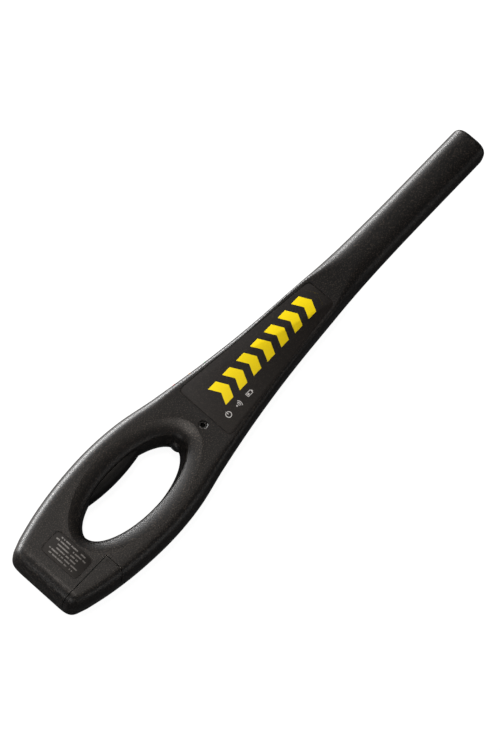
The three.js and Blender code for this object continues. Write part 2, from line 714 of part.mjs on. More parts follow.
function jackSocket() {
  const top = THICKNESS - WALL - CONTACT_GAP;
  const bottom = top - JACK_DEPTH + 2;
  const nose = THICKNESS - 1.4;
  const profile = [
    [0, bottom], [JACK_RADIUS, bottom], [JACK_RADIUS, top], [JACK_NOSE_RADIUS, top],
    [JACK_NOSE_RADIUS, nose], [JACK_BORE_RADIUS, nose], [JACK_BORE_RADIUS, bottom + 2], [0, bottom + 2],
  ];
  const geometry = turned(profile, 20);
  geometry.translate(JACK_X, JACK_Y, 0);
  return solid(geometry);
}

// A lens with a flange inside the wall and a slightly domed face outside.
function lens(lamp) {
  const out = lamp.outY - lamp.flangeY;
  const profile = [
    [0, 0], [LENS_FLANGE_RADIUS, 0], [LENS_FLANGE_RADIUS, LENS_FLANGE], [LENS_RADIUS, LENS_FLANGE],
    [LENS_RADIUS, out - 0.5], [LENS_RADIUS * 0.7, out - 0.1], [0, out],
  ];
  const geometry = turned(profile, 14);
  geometry.rotateX(-Math.PI / 2);
  geometry.translate(lamp.x, lamp.flangeY, MID_Z + LAMP_RISE);
  return solid(geometry);
}

function led(lamp) {
  const end = lamp.flangeY - CLEARANCE;
  const profile = [
    [0, 0], [LED_RADIUS, 0], [LED_RADIUS, LED_LENGTH - 1], [LED_RADIUS * 0.7, LED_LENGTH - 0.3],
    [0, LED_LENGTH],
  ];
  const geometry = turned(profile, 12);
  geometry.rotateX(-Math.PI / 2);
  geometry.translate(lamp.x, end - LED_LENGTH, MID_Z + LAMP_RISE);
  const y = end - LED_LENGTH + 0.6;
  const rise = MID_Z + LAMP_RISE;
  const leg = box(lamp.x - 0.9, lamp.x + 0.9, y - 0.3, y + 0.3, BOARD_TOP + CONTACT_GAP, rise);
  return solid(geometry).add(solid(leg));
}

// ---------------------------------------------------------------- the electronics

// The board follows the inside of the neck, set in round the rear screw bosses.
function mainBoard() {
  const [neckScrew, neckScrewY] = SCREWS.case_screw_neck_left;
  const rear = neckScrewY - BOSS_RADIUS - 4;
  const step = BUTT_X + neckScrew + BOSS_RADIUS + 1.5;
  const end = BOARD_X + BOARD_LENGTH;
  const widthAt = (x) => insideAt(x, MID_Z - BOARD_BOTTOM) - 1.2;
  const half = [[BOARD_X, rear], [step, rear], [step + 1.5, 21], [BOARD_X + 54, widthAt(BOARD_X + 54)]];
  half.push([BOARD_X + 100, widthAt(BOARD_X + 100)], [end, widthAt(end) - 2]);
  const corners = [...half, ...half.map(([x, y]) => [x, -y]).reverse()];
  const shape = new THREE.Shape(corners.map(([x, y]) => new THREE.Vector2(x, y)));
  return solid(plate(shape, BOARD_BOTTOM, BOARD_TOP));
}

function chip(x, y, length, width, height) {
  const z0 = BOARD_TOP + CONTACT_GAP;
  return solid(box(x - length / 2, x + length / 2, y - width / 2, y + width / 2, z0, z0 + height));
}

function capacitor(x, y, radius, height) {
  const z0 = BOARD_TOP + CONTACT_GAP;
  return solid(post(x, y, z0, z0 + height, radius, 16));
}

function speaker() {
  const z0 = WALL + CONTACT_GAP * 2 + GASKET_THICKNESS;
  const top = z0 + SPEAKER_HEIGHT;
  const r = SPEAKER_RADIUS;
  const profile = [[0, z0], [r, z0], [r, top - 1.4], [r * 0.5, top - 1.4], [r * 0.5, top], [0, top]];
  const geometry = turned(profile, 24);
  geometry.translate(SPEAKER_X, 0, 0);
  return solid(geometry);
}

function speakerGasket() {
  const z0 = WALL + CONTACT_GAP;
  const z1 = z0 + GASKET_THICKNESS;
  const inner = SPEAKER_RADIUS - 2.3;
  const profile = [[inner, z0], [SPEAKER_RADIUS, z0], [SPEAKER_RADIUS, z1], [inner, z1], [inner, z0]];
  const geometry = turned(profile, 24);
  geometry.translate(SPEAKER_X, 0, 0);
  return solid(geometry);
}

// ---------------------------------------------------------------- the vibration motor

// Everything in the motor is turned round X at the motor's middle line.
function onMotorAxis(geometry) {
  geometry.rotateY(Math.PI / 2);
  geometry.translate(MOTOR_X, MOTOR_Y, MID_Z);
  return solid(geometry);
}

function vibrationMotor() {
  const half = MOTOR_LENGTH / 2;
  const can = onMotorAxis(post(0, 0, -half, half, MOTOR_RADIUS, 20));
  return can.subtract(onMotorAxis(post(0, 0, 0, half + 1, MOTOR_SHAFT_RADIUS + CLEARANCE, 12)));
}

const weightStart = MOTOR_LENGTH / 2 + 1.5;

function motorShaft() {
  return onMotorAxis(post(0, 0, 1, weightStart + MOTOR_WEIGHT_LENGTH + 0.5, MOTOR_SHAFT_RADIUS, 12));
}

function motorWeight() {
  const disc = new THREE.Shape();
  disc.absarc(0, 0, MOTOR_WEIGHT_RADIUS, Math.PI, Math.PI * 2);
  disc.lineTo(2, 1.8);
  disc.lineTo(-2, 1.8);
  const block = onMotorAxis(plate(disc, weightStart, weightStart + MOTOR_WEIGHT_LENGTH, 8));
  const bore = post(0, 0, weightStart - 1, weightStart + MOTOR_WEIGHT_LENGTH + 1, MOTOR_SHAFT_RADIUS + 0.05, 12);
  return block.subtract(onMotorAxis(bore));
}

function motorCradle() {
  const length = MOTOR_LENGTH - 3;
  const half = MOTOR_RADIUS + 1.4;
  const z0 = WALL + CONTACT_GAP;
  const x0 = MOTOR_X - length / 2;
  const block = solid(box(x0, x0 + length, MOTOR_Y - half, MOTOR_Y + half, z0, MID_Z));
  return block.subtract(onMotorAxis(post(0, 0, -length, length, MOTOR_RADIUS + CONTACT_GAP, 20)));
}

// ---------------------------------------------------------------- the battery

// The battery lies along its own X, from its butt end at 0, with its inner side at Y 0.
function battery() {
  const halfHeight = BATTERY_HEIGHT / 2;
  const shape = roundedRectangle(-halfHeight, halfHeight, -BATTERY_DEPTH, 0, BATTERY_CORNER);
  const can = plate(shape, 0, BATTERY_LENGTH, 3);
  let body = solid(can);
  for (const side of [-1, 1]) {
    const x = (side * TERMINAL_SPACING) / 2;
    const end = BATTERY_LENGTH + TERMINAL_HEIGHT;
    body = body.add(solid(post(x, -BATTERY_DEPTH / 2, BATTERY_LENGTH - 1, end, TERMINAL_RADIUS, 12)));
  }
  return body;
}

function batterySnap() {
  const z0 = BATTERY_LENGTH + CLEARANCE;
  const shape = roundedRectangle(-12.5, 12.5, -BATTERY_DEPTH / 2 - 6, -BATTERY_DEPTH / 2 + 6, 4);
  let body = solid(plate(shape, z0, z0 + SNAP_THICKNESS, 3));
  for (const side of [-1, 1]) {
    const x = (side * TERMINAL_SPACING) / 2;
    const end = BATTERY_LENGTH + TERMINAL_HEIGHT + CLEARANCE;
    const cup = post(x, -BATTERY_DEPTH / 2, z0 - 1, end, TERMINAL_RADIUS + CLEARANCE, 12);
    body = body.subtract(solid(cup));
  }
  return body;
}

// Pieces made lengthwise along Z are laid along X.
function laidDown(body) {
  const geometry = geometryOf(body);
  geometry.rotateY(Math.PI / 2);
  return geometry;
}

function batteryFoam() {
  const x0 = BUTT_X + WALL + 1;
  const y = DOOR_EDGE_Y + 4;
  return solid(box(x0, x0 + 3, y - 3, y + 5, MID_Z - 5, MID_Z + 5));
}

// ---------------------------------------------------------------- the coil

function coilFormer() {
  const z0 = MID_Z - FORMER_THICKNESS / 2;
  const z1 = MID_Z + FORMER_THICKNESS / 2;
  let former = solid(plate(racetrack(COIL_X, COIL_END, FORMER_HALF_WIDTH), z0, z1, 8));
  for (const [x0, x1] of sensePlaces()) {
    const inset = SENSE_OUTER_HALF - SENSE_INNER_HALF + CLEARANCE;
    const core = racetrack(x0 + inset, x1 - inset, SENSE_INNER_HALF - CLEARANCE);
    former = former.add(solid(plate(core, z1 - 0.5, z1 + SENSE_HEIGHT, 8)));
  }
  return former;
}

// The two sense windings share the former end to end.
function sensePlaces() {
  const margin = 2;
  const middle = (COIL_X + COIL_END) / 2;
  return [[COIL_X + margin, middle - margin], [middle + margin, COIL_END - margin]];
}

function driveWinding() {
  const inner = FORMER_HALF_WIDTH + CLEARANCE;
  const outer = inner + WINDING_THICKNESS;
  const z0 = MID_Z - FORMER_THICKNESS / 2 + 0.3;
  const z1 = MID_Z + FORMER_THICKNESS / 2 - 0.3;
  const reach = CLEARANCE + WINDING_THICKNESS;
  return solid(racetrackRing(COIL_X - reach, COIL_END + reach, outer, inner, z0, z1));
}

function senseWinding([x0, x1]) {
  const z0 = MID_Z + FORMER_THICKNESS / 2 + CONTACT_GAP;
  return solid(racetrackRing(x0, x1, SENSE_OUTER_HALF, SENSE_INNER_HALF, z0, z0 + SENSE_HEIGHT));
}

function coilFoam() {
  const z0 = MID_Z + FORMER_THICKNESS / 2 + SENSE_HEIGHT + CLEARANCE + 0.2;
  const z1 = MID_Z + TUBE_THICKNESS / 2 - WALL - 1.6;
  return solid(box(COIL_X + 8, COIL_END - 8, -5, 5, z0, z1));
}

// ---------------------------------------------------------------- screws and wires

// A self-tapping screw with a cross recess, its head down in the counterbore.
function caseScrew() {
  const head = SCREW_SEAT - SCREW_HEAD_HEIGHT - CONTACT_GAP;
  const seat = SCREW_SEAT - CONTACT_GAP;
  const end = seat + SCREW_LENGTH;
  const profile = [
    [0, head], [SCREW_HEAD_RADIUS * 0.8, head], [SCREW_HEAD_RADIUS, head + 0.7], [SCREW_HEAD_RADIUS, seat],
    [SCREW_RADIUS, seat], [SCREW_RADIUS, end - 1.5], [0, end],
  ];
  const cross = solid(box(-1.6, 1.6, -0.4, 0.4, head - 1, head + 1.1));
  const crossTurned = solid(box(-0.4, 0.4, -1.6, 1.6, head - 1, head + 1.1));
  return solid(turned(profile, 14)).subtract(cross.add(crossTurned));
}

const HEADER_X = BOARD_X + 10;

function barWire(side, start, z, endY) {
  const startX = start[0];
  const points = [
    start,
    [Math.min(startX + 8, HOLE_X - 22), side * (WIRE_LANE_Y + 0.4), z],
    [HOLE_X - 8, side * WIRE_LANE_Y, z],
    [HOLE_X + 12, side * WIRE_LANE_Y, z],
    [HOLE_X + 30, side * (WIRE_LANE_Y - 1.6), z],
    [HOLE_X + 45, side * (WIRE_LANE_Y - 6.5), z],
    [HEADER_X - 8, side * (Math.abs(endY) + 2), z],
    [HEADER_X - CLEARANCE, endY, z],
  ];
  return solid(wire(points, WIRE_RADIUS, 22));
}

function batteryLead(height, endY) {
  const reach = BATTERY_LENGTH + SNAP_THICKNESS + 3 * CLEARANCE;
  const start = new THREE.Vector3(reach, -BATTERY_DEPTH / 2, 0).applyMatrix4(batteryPlace.matrix);
  return barWire(-1, [start.x, start.y, height], height, endY);
}

function motorLead() {
  const half = MOTOR_LENGTH / 2;
  const z = BOARD_TOP + 1.6;
  const y = MOTOR_Y + MOTOR_RADIUS + 2.6;
  const start = [MOTOR_X + half + 1, y, z];
  return barWire(1, start, z, 9);
}

function coilLead() {
  const z = BOARD_TOP + 2.5;
  const start = BOARD_X + BOARD_LENGTH - 6 + 2 * CLEARANCE;
  const end = COIL_X - CLEARANCE * 2 - WINDING_THICKNESS;
  const y = BOSS_RADIUS + 3;
  const points = [
    [start, 4, z],
    [start + 2.5, 4.6, z],
    [start + 7, y, z],
    [end - 7, y, z + 1],
    [end - 3, 3, MID_Z],
    [end, 2, MID_Z],
  ];
  return solid(wire(points, 0.9, 14));
}

function header(x, y, width) {
  const z0 = BOARD_TOP + CONTACT_GAP;
  return solid(box(x, x + 5, y - width / 2, y + width / 2, z0, z0 + 5));
}

// ---------------------------------------------------------------- materials and assembly

const finish = (colour, roughness, metalness = 0) => ({ color: colour, roughness, metalness });
const CASE_PLASTIC = finish(0x1c1a19, 0.6);
const LABEL_FILM = finish(0x2a2624, 0.5);
const RUBBER = finish(0x151515, 0.8);
const BOARD_GREEN = finish(0x14502c, 0.5);
const CHIP_BLACK = finish(0x101010, 0.45);
const STEEL = finish(0x9a9a9c, 0.35, 1);
const COPPER = finish(0xb0622c, 0.4, 1);
const FOAM = finish(0x3b3b3d, 0.95);
const NYLON = finish(0xe8e4d8, 0.55);

const wand = new THREE.Group();

function part(name, body, look, parent = wand) {
  const geometry = body instanceof THREE.BufferGeometry ? body : geometryOf(body);
  const mesh = new THREE.Mesh(geometry, new THREE.MeshStandardMaterial(look));
  mesh.name = name;
  parent.add(mesh);
  return mesh;
}

const frontMoulding = frontHalf();
part('front_shell', frontShell(frontMoulding), CASE_PLASTIC);
part('back_shell', backShell(), CASE_PLASTIC);
part('battery_door', doorSolid(frontMoulding), CASE_PLASTIC);

const labelBottom = THICKNESS - LABEL_RECESS + CONTACT_GAP;
const labelTop = labelBottom + LABEL_THICKNESS;
part('front_label', solid(plate(labelShape(0), labelBottom, labelTop)), LABEL_FILM);
part('rating_label', solid(plate(plateShape(0), labelBottom, labelTop)), LABEL_FILM);
part('finger_grip_pad', fingerGripPad(), RUBBER);
part('trigger_button', triggerButton(), RUBBER);
part('trigger_switch', triggerSwitch(), CHIP_BLACK);
part('jack_socket', jackSocket(), CHIP_BLACK);

const LAMP_COLOURS = { red: 0xb01818, amber: 0xc07a10, green: 0x109030 };
for (const lamp of LAMPS) {
  part(`lens_${lamp.colour}`, lens(lamp), finish(LAMP_COLOURS[lamp.colour], 0.15));
  part(`led_${lamp.colour}`, led(lamp), finish(LAMP_COLOURS[lamp.colour], 0.25));
}

part('main_pcb', mainBoard(), BOARD_GREEN);
part('microcontroller', chip(BOARD_X + 34, -4, 12, 12, 1.6), CHIP_BLACK);
part('amplifier_chip', chip(BOARD_X + 112, -3, 6, 5, 1.6), CHIP_BLACK);
part('crystal', chip(BOARD_X + 46, 4, 5, 11, 3.6), STEEL);
part('capacitor_large', capacitor(BOARD_X + 64, -7, 5, 11), CHIP_BLACK);
part('capacitor_small', capacitor(BOARD_X + 64, 6, 3.2, 8), CHIP_BLACK);
part('header_battery', header(HEADER_X, -8, 7), NYLON);
part('header_motor', header(HEADER_X, 9, 5), NYLON);
part('header_coil', header(BOARD_X + BOARD_LENGTH - 11, 4, 6), NYLON);
part('speaker', speaker(), STEEL);
part('speaker_gasket', speakerGasket(), FOAM);

part('vibration_motor', vibrationMotor(), STEEL);
part('motor_shaft', motorShaft(), STEEL);
part('motor_weight', motorWeight(), STEEL);
part('motor_cradle', motorCradle(), RUBBER);
part('motor_lead', motorLead(), finish(0x2050a0, 0.6));

wand.add(batteryPlace);
part('battery_9v', laidDown(battery()), finish(0x8a6a2a, 0.4), batteryPlace);
part('battery_snap', laidDown(batterySnap()), CHIP_BLACK, batteryPlace);
part('battery_foam', batteryFoam(), FOAM);
part('battery_lead_red', batteryLead(BOARD_TOP + 4, -9.5), finish(0xa01515, 0.6));
part('battery_lead_black', batteryLead(BOARD_TOP + 1.5, -6.5), finish(0x101010, 0.6));

part('coil_former', coilFormer(), NYLON);
part('drive_winding', driveWinding(), COPPER);
part('sense_winding_rear', senseWinding(sensePlaces()[0]), COPPER);
part('sense_winding_tip', senseWinding(sensePlaces()[1]), COPPER);
part('coil_foam', coilFoam(), FOAM);
part('coil_lead', coilLead(), finish(0x303030, 0.6));

for (const [name, [fromButt, y]] of Object.entries(SCREWS)) {
  const screw = part(name, caseScrew(), STEEL);
  screw.position.set(BUTT_X + fromButt, y, 0);
}

export default wand;
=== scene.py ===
# %% [markdown]
# # A hand-held metal detector wand
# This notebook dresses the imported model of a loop-handled metal detector wand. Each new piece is
# then made in the same place and rides on the body that it belongs to.

# %% Load the frame
import json
import math

import bmesh
import bpy
from mathutils import Matrix, Vector


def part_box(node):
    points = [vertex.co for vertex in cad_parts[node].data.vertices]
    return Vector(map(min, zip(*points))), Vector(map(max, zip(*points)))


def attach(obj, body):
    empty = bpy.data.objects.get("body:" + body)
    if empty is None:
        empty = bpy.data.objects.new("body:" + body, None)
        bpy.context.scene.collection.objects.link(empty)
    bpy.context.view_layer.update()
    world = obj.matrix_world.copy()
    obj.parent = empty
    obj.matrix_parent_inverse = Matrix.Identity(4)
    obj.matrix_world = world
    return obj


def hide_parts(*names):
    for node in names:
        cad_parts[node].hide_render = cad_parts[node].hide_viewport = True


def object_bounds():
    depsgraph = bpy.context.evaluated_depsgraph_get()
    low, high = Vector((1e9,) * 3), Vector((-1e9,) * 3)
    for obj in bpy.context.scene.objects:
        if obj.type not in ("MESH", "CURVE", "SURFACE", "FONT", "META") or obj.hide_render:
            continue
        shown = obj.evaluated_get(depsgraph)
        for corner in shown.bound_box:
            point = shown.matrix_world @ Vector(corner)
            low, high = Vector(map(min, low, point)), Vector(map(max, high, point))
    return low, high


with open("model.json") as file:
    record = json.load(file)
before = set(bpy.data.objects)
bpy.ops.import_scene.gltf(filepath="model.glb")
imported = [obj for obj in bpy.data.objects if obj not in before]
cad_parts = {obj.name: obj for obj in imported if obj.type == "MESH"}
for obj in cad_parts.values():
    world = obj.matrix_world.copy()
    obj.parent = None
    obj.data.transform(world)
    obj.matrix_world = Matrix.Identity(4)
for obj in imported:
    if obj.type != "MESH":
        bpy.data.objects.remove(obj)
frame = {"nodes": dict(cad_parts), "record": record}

for name in ("Cube", "Light", "Camera"):
    if name in bpy.data.objects:
        bpy.data.objects.remove(bpy.data.objects[name], do_unlink=True)
cad_box = [list(corner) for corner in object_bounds()]
print("frame pieces", len(frame["nodes"]), "box", cad_box)

# %% [markdown]
# ## The wand's own measures
# The case is one form drawn by a few sizes: its length, the width of its handle and its tube, and
# how wide its edges roll over. The overall sizes come from the frame. The rest are written here in
# millimetres, because that is how a case like this is dimensioned. The handle is drawn a hair
# narrower than the frame's box, so that its curve stays inside the frame's facets.

# %% Driving sizes
MM = 0.001
LENGTH = (cad_box[1][0] - cad_box[0][0]) / MM
HANDLE_WIDTH = 85.28
TUBE_WIDTH = 29.1
THICKNESS = (cad_box[1][2] - cad_box[0][2]) / MM
TUBE_THICKNESS = 28.0
WALL = 2.4
SEAM = 0.3
BUTT = -LENGTH / 2
TIP = LENGTH / 2
MID = THICKNESS / 2
ROLL_POWER = 3.0
BUTT_POWER = 2.2
BUTT_CORNER = 6.0
BUTT_ROLL = 9.2
BUTT_DROP = 11.0
TIP_ROUND = 4.5
HOLE = BUTT + 92.9
HOLE_HALF_LENGTH = 46.0
HOLE_HALF_WIDTH = 18.8
HOLE_WALL_HEIGHT = 10.5
LABEL_START = 166.5
LABEL_LENGTH = 127.0
NECK_END = LABEL_START + LABEL_LENGTH
TAPER = 60.0
print("length", round(LENGTH, 1), "thickness", round(THICKNESS, 1))

# %% [markdown]
# ## Smooth curves through a few points
# The side of the wand swells from a slim tube to a wide handle. A designer draws that as one curve
# through a handful of points. A cubic through each pair of points, whose slope at a point follows
# its two neighbours, gives the same line without any corner.

# %% A curve through points


def curve_through(places, values):
    """Returns a function of a place, smooth through every value."""

    def value_at(t):
        if t <= places[0]:
            return values[0]
        if t >= places[-1]:
            return values[-1]
        k = max(i for i, place in enumerate(places) if place <= t)
        t0, t1 = places[k], places[k + 1]
        first, last = k == 0, k + 2 == len(places)
        before = values[k + 1] if first else values[k - 1]
        after = values[k] if last else values[k + 2]
        half = (t1 - t0) / 2
        pull_before = 0.5 if first else half / (t0 - places[k - 1])
        pull_after = 0.5 if last else half / (places[k + 2] - t1)
        p = (t - t0) / (t1 - t0)
        weights = (
            pull_before * (-(p**3) + 2 * p**2 - p),
            (1 + pull_before) * p**3 - (1.5 + 2 * pull_before) * p**2 + (pull_before - 0.5) * p + 1,
            -(1 + pull_after) * p**3 + (1.5 + pull_after) * p**2 + 0.5 * p,
            pull_after * (p**3 - p**2),
        )
        return sum(w * v for w, v in zip(weights, (before, values[k], values[k + 1], after)))

    return value_at


HOLE_END = HOLE - BUTT + HOLE_HALF_LENGTH
swell_at = curve_through(
    [0, 15, 35, 61, 93, 121, 153, 195, 245, 295, 345, 400],
    [0.512, 0.66, 0.823, 0.95, 1, 0.922, 0.692, 0.441, 0.227, 0.094, 0.023, 0],
)
roll_at = curve_through(
    [0, HOLE_END, LABEL_START, NECK_END - 70, NECK_END, NECK_END + 14, NECK_END + 40],
    [10, 10, 6.8, 5.2, 4.2, 8, TUBE_WIDTH / 2],
)


def side_of(x):
    """Half the width at x, before the ends are rounded."""
    return (TUBE_WIDTH + swell_at(x - BUTT) * (HANDLE_WIDTH - TUBE_WIDTH)) / 2


def rise_of(x):
    """Half the thickness at x, before the ends are rounded."""
    t = min(max((x - BUTT - NECK_END) / TAPER, 0), 1)
    eased = t * t * (3 - 2 * t)
    return (THICKNESS + eased * (TUBE_THICKNESS - THICKNESS)) / 2


def fall_back(t, depth, power):
    """How far a rounded end has fallen back, at a share t of its rounding."""
    rest = 1 - min(max(t, 0), 1)
    return depth * (1 - (1 - rest**power) ** (1 / power))


def section_at(x, inset=0.0):
    """Half width, half thickness and roll-over of the case at x, set in by inset."""
    from_butt = x - BUTT - inset
    from_tip = TIP - inset - x
    side = side_of(x) - inset
    side -= fall_back(from_butt / (BUTT_CORNER - inset), BUTT_CORNER - inset, 2)
    side -= fall_back(from_tip / (TIP_ROUND - inset), TIP_ROUND - inset, 2)
    rise = rise_of(x) - inset
    rise -= fall_back(from_butt / (BUTT_ROLL - inset), BUTT_DROP, BUTT_POWER)
    rise -= fall_back(from_tip / (TIP_ROUND - inset), TIP_ROUND - inset, 2)
    roll = min(max(roll_at(x - BUTT) - inset, 1), side - 1)
    return side, rise, roll


print("half width at the hand hole", round(side_of(HOLE), 2))

# %% [markdown]
# ## Rolling a grid into a form
# Long moulded forms are easiest to control as a stack of cross sections. Blender's grid operator
# gives the faces, and every corner of the grid is moved to its place on a section. Merging the
# doubled seam and filling the two ends makes a closed body that booleans accept.

# %% Lofting helpers


def loft(name, rings, closed_ends=True):
    """A body through rings of (x, y, z) points in millimetres, each ring with the same count."""
    across, along = len(rings[0]), len(rings) - 1
    bm = bmesh.new()
    bmesh.ops.create_grid(bm, x_segments=across, y_segments=along, size=0.5)
    for v in bm.verts:
        ring = rings[round((v.co.y + 0.5) * along)]
        v.co = Vector(ring[round((v.co.x + 0.5) * across) % across]) * MM
    bmesh.ops.remove_doubles(bm, verts=bm.verts, dist=1e-7)
    if closed_ends:
        open_edges = [e for e in bm.edges if e.is_boundary]
        bmesh.ops.holes_fill(bm, edges=open_edges, sides=0)
    bmesh.ops.recalc_face_normals(bm, faces=bm.faces)
    return finished(name, bm)


def finished(name, bm):
    """Turns a bmesh into an object at the origin."""
    mesh = bpy.data.meshes.new(name)
    bm.to_mesh(mesh)
    bm.free()
    piece = bpy.data.objects.new(name, mesh)
    bpy.context.scene.collection.objects.link(piece)
    return piece


def settle(piece):
    """Makes a piece's modifiers a part of its mesh."""
    bpy.context.view_layer.update()
    graph = bpy.context.evaluated_depsgraph_get()
    mesh = bpy.data.meshes.new_from_object(piece.evaluated_get(graph))
    old = piece.data
    piece.modifiers.clear()
    piece.data = mesh
    bpy.data.meshes.remove(old)


def combine(piece, *others, how="DIFFERENCE", keep=False):
    """Cuts other bodies out of a piece, joins them to it, or keeps only what they share."""
    for other in others:
        step = piece.modifiers.new(how.lower(), "BOOLEAN")
        step.operation = how
        step.solver = "MANIFOLD"
        step.object = other
        settle(piece)
        if not keep:
            bpy.data.objects.remove(other, do_unlink=True)
    return piece


def copy_of(piece, name):
    twin = piece.copy()
    twin.data = piece.data.copy()
    twin.name = name
    bpy.context.scene.collection.objects.link(twin)
    return twin


def count(piece):
    return f"{piece.name}: {sum(len(p.vertices) - 2 for p in piece.data.polygons)} triangles"


# %% [markdown]
# ## Simple cutters and posts
# Bosses, bores and recesses are turned or extruded bodies. The cone operator makes the round ones,
# and a flat outline pulled up by the extrude operator makes the plates and the pockets.

# %% Round and flat bodies


def round_bar(name, start, end, radius, end_radius=None, sides=48):
    """A round bar between two points in millimetres."""
    start, end = Vector(start), Vector(end)
    turn = (end - start).to_track_quat("Z", "Y").to_matrix().to_4x4()
    place = Matrix.Translation((start + end) / 2 * MM) @ turn
    bm = bmesh.new()
    bmesh.ops.create_cone(
        bm, cap_ends=True, segments=sides, radius1=radius * MM,
        radius2=(radius if end_radius is None else end_radius) * MM,
        depth=(end - start).length * MM, matrix=place,
    )
    return finished(name, bm)


def slab(name, outline, low, high):
    """A plate with the given outline of (x, y) points, between two heights in millimetres."""
    bm = bmesh.new()
    corners = [bm.verts.new(Vector((x, y, low)) * MM) for x, y in outline]
    face = bm.faces.new(corners)
    pulled = bmesh.ops.extrude_face_region(bm, geom=[face])
    lifted = [g for g in pulled["geom"] if isinstance(g, bmesh.types.BMVert)]
    bmesh.ops.translate(bm, verts=lifted, vec=(0, 0, (high - low) * MM))
    bmesh.ops.recalc_face_normals(bm, faces=bm.faces)
    return finished(name, bm)


def block(name, low, high):
    """A box between two corners in millimetres."""
    outline = [(low[0], low[1]), (high[0], low[1]), (high[0], high[1]), (low[0], high[1])]
    return slab(name, outline, low[2], high[2])


def arc(cx, cy, r, start, end, steps=8):
    """Points on an arc, between two angles in degrees."""
    turns = [math.radians(start + (end - start) * k / steps) for k in range(steps + 1)]
    return [(cx + r * math.cos(t), cy + r * math.sin(t)) for t in turns]


def rounded_outline(x0, x1, y0, y1, r):
    """A rectangle with rounded corners."""
    return (
        arc(x1 - r, y1 - r, r, 0, 90) + arc(x0 + r, y1 - r, r, 90, 180)
        + arc(x0 + r, y0 + r, r, 180, 270) + arc(x1 - r, y0 + r, r, 270, 360)
    )


def turned(name, profile, origin, axis, sides=64):
    """A body spun from a profile of (radius, distance) pairs along an axis through origin."""
    bm = bmesh.new()
    points = [bm.verts.new((r * MM, 0, d * MM)) for r, d in profile]
    edges = [bm.edges.new(pair) for pair in zip(points, points[1:])]
    bmesh.ops.spin(
        bm, geom=points + edges, cent=(0, 0, 0), axis=(0, 0, 1),
        angle=math.tau, steps=sides, use_merge=True,
    )
    bmesh.ops.remove_doubles(bm, verts=bm.verts, dist=1e-7)
    bmesh.ops.recalc_face_normals(bm, faces=bm.faces)
    turn = Vector(axis).to_track_quat("Z", "Y").to_matrix().to_4x4()
    place = Matrix.Translation(Vector(origin) * MM) @ turn
    bmesh.ops.transform(bm, matrix=place, verts=bm.verts)
    return finished(name, bm)


# %% [markdown]
# ## The two halves of the case
# The real case is two mouldings that meet on the middle plane. Each half is lofted as a closed
# half section with a small chamfer along the parting line, because that chamfer is what makes the
# dark seam. The stations crowd together at the rounded ends, where the form changes fastest.

# %% Half sections
CORNER_STEPS = 14
SEAM_CHAMFER = 0.7


def stations(inset, butt_steps, body_steps, tip_steps):
    """Places along X for the sections, from the butt to the tip."""
    start, end = BUTT + inset, TIP - inset
    butt_end = start + BUTT_ROLL - inset
    tip_start = end - (TIP_ROUND - inset)
    quarter = math.pi / 2
    butt = [1 - math.cos(k / butt_steps * quarter) for k in range(butt_steps)]
    body = [k / body_steps for k in range(body_steps)]
    tip = [math.sin(k / tip_steps * quarter) for k in range(tip_steps + 1)]
    return (
        [start + (butt_end - start) * t for t in butt]
        + [butt_end + (tip_start - butt_end) * t for t in body]
        + [tip_start + (end - tip_start) * t for t in tip]
    )


def half_ring(x, inset, sign, corner_steps, floor):
    """The closed section of one half: its rolled edge, its flat face and the parting plane."""
    side, rise, roll = section_at(x, inset)
    edge = [(side - (SEAM_CHAMFER if floor > 0 else 0), floor)]
    for k in range(corner_steps + 1):
        turn = k / corner_steps * math.pi / 2
        z = rise * math.sin(turn) ** (2 / ROLL_POWER)
        y = side - roll + roll * math.cos(turn) ** (2 / ROLL_POWER)
        edge.append((y, max(z, floor + SEAM_CHAMFER) if k == 0 else z))
    left = [(x, y, MID + sign * z) for y, z in edge]
    right = [(x, -y, MID + sign * z) for y, z in reversed(edge)]
    return left + right


def half_body(name, inset, sign, corner_steps, body_steps, floor):
    places = stations(inset, 10, body_steps, 8)
    return loft(name, [half_ring(x, inset, sign, corner_steps, floor) for x in places])


# %% [markdown]
# ## The hand hole
# The hole is an oval whose wall leans back a little up to a crease, and then flares out like the
# mouth of a bell. The same form, grown by the wall, is what the hollow of the case has to leave
# standing round the hole.

# %% The hand hole's form
LIP_STEPS = 12
HOLE_END_DRAFT = 3.0
HOLE_SIDE_DRAFT = 1.2
LIP_TIP_FLARE = 13.3
LIP_BUTT_FLARE = 9.0
LIP_SIDE_FLARE = 11.5


def hole_opening(height):
    """How far the hole has opened at a height: towards the tip, the butt and the sides."""
    drafted = min(height / HOLE_WALL_HEIGHT, 1)
    lip = min(max((height - HOLE_WALL_HEIGHT) / (MID - HOLE_WALL_HEIGHT + 0.12), 0), 1)
    flare = (1 - math.sqrt(1 - lip * lip)) / 0.81
    draft = HOLE_END_DRAFT * drafted
    side = HOLE_SIDE_DRAFT * drafted + LIP_SIDE_FLARE * flare
    return draft + LIP_TIP_FLARE * flare, draft + LIP_BUTT_FLARE * flare, side


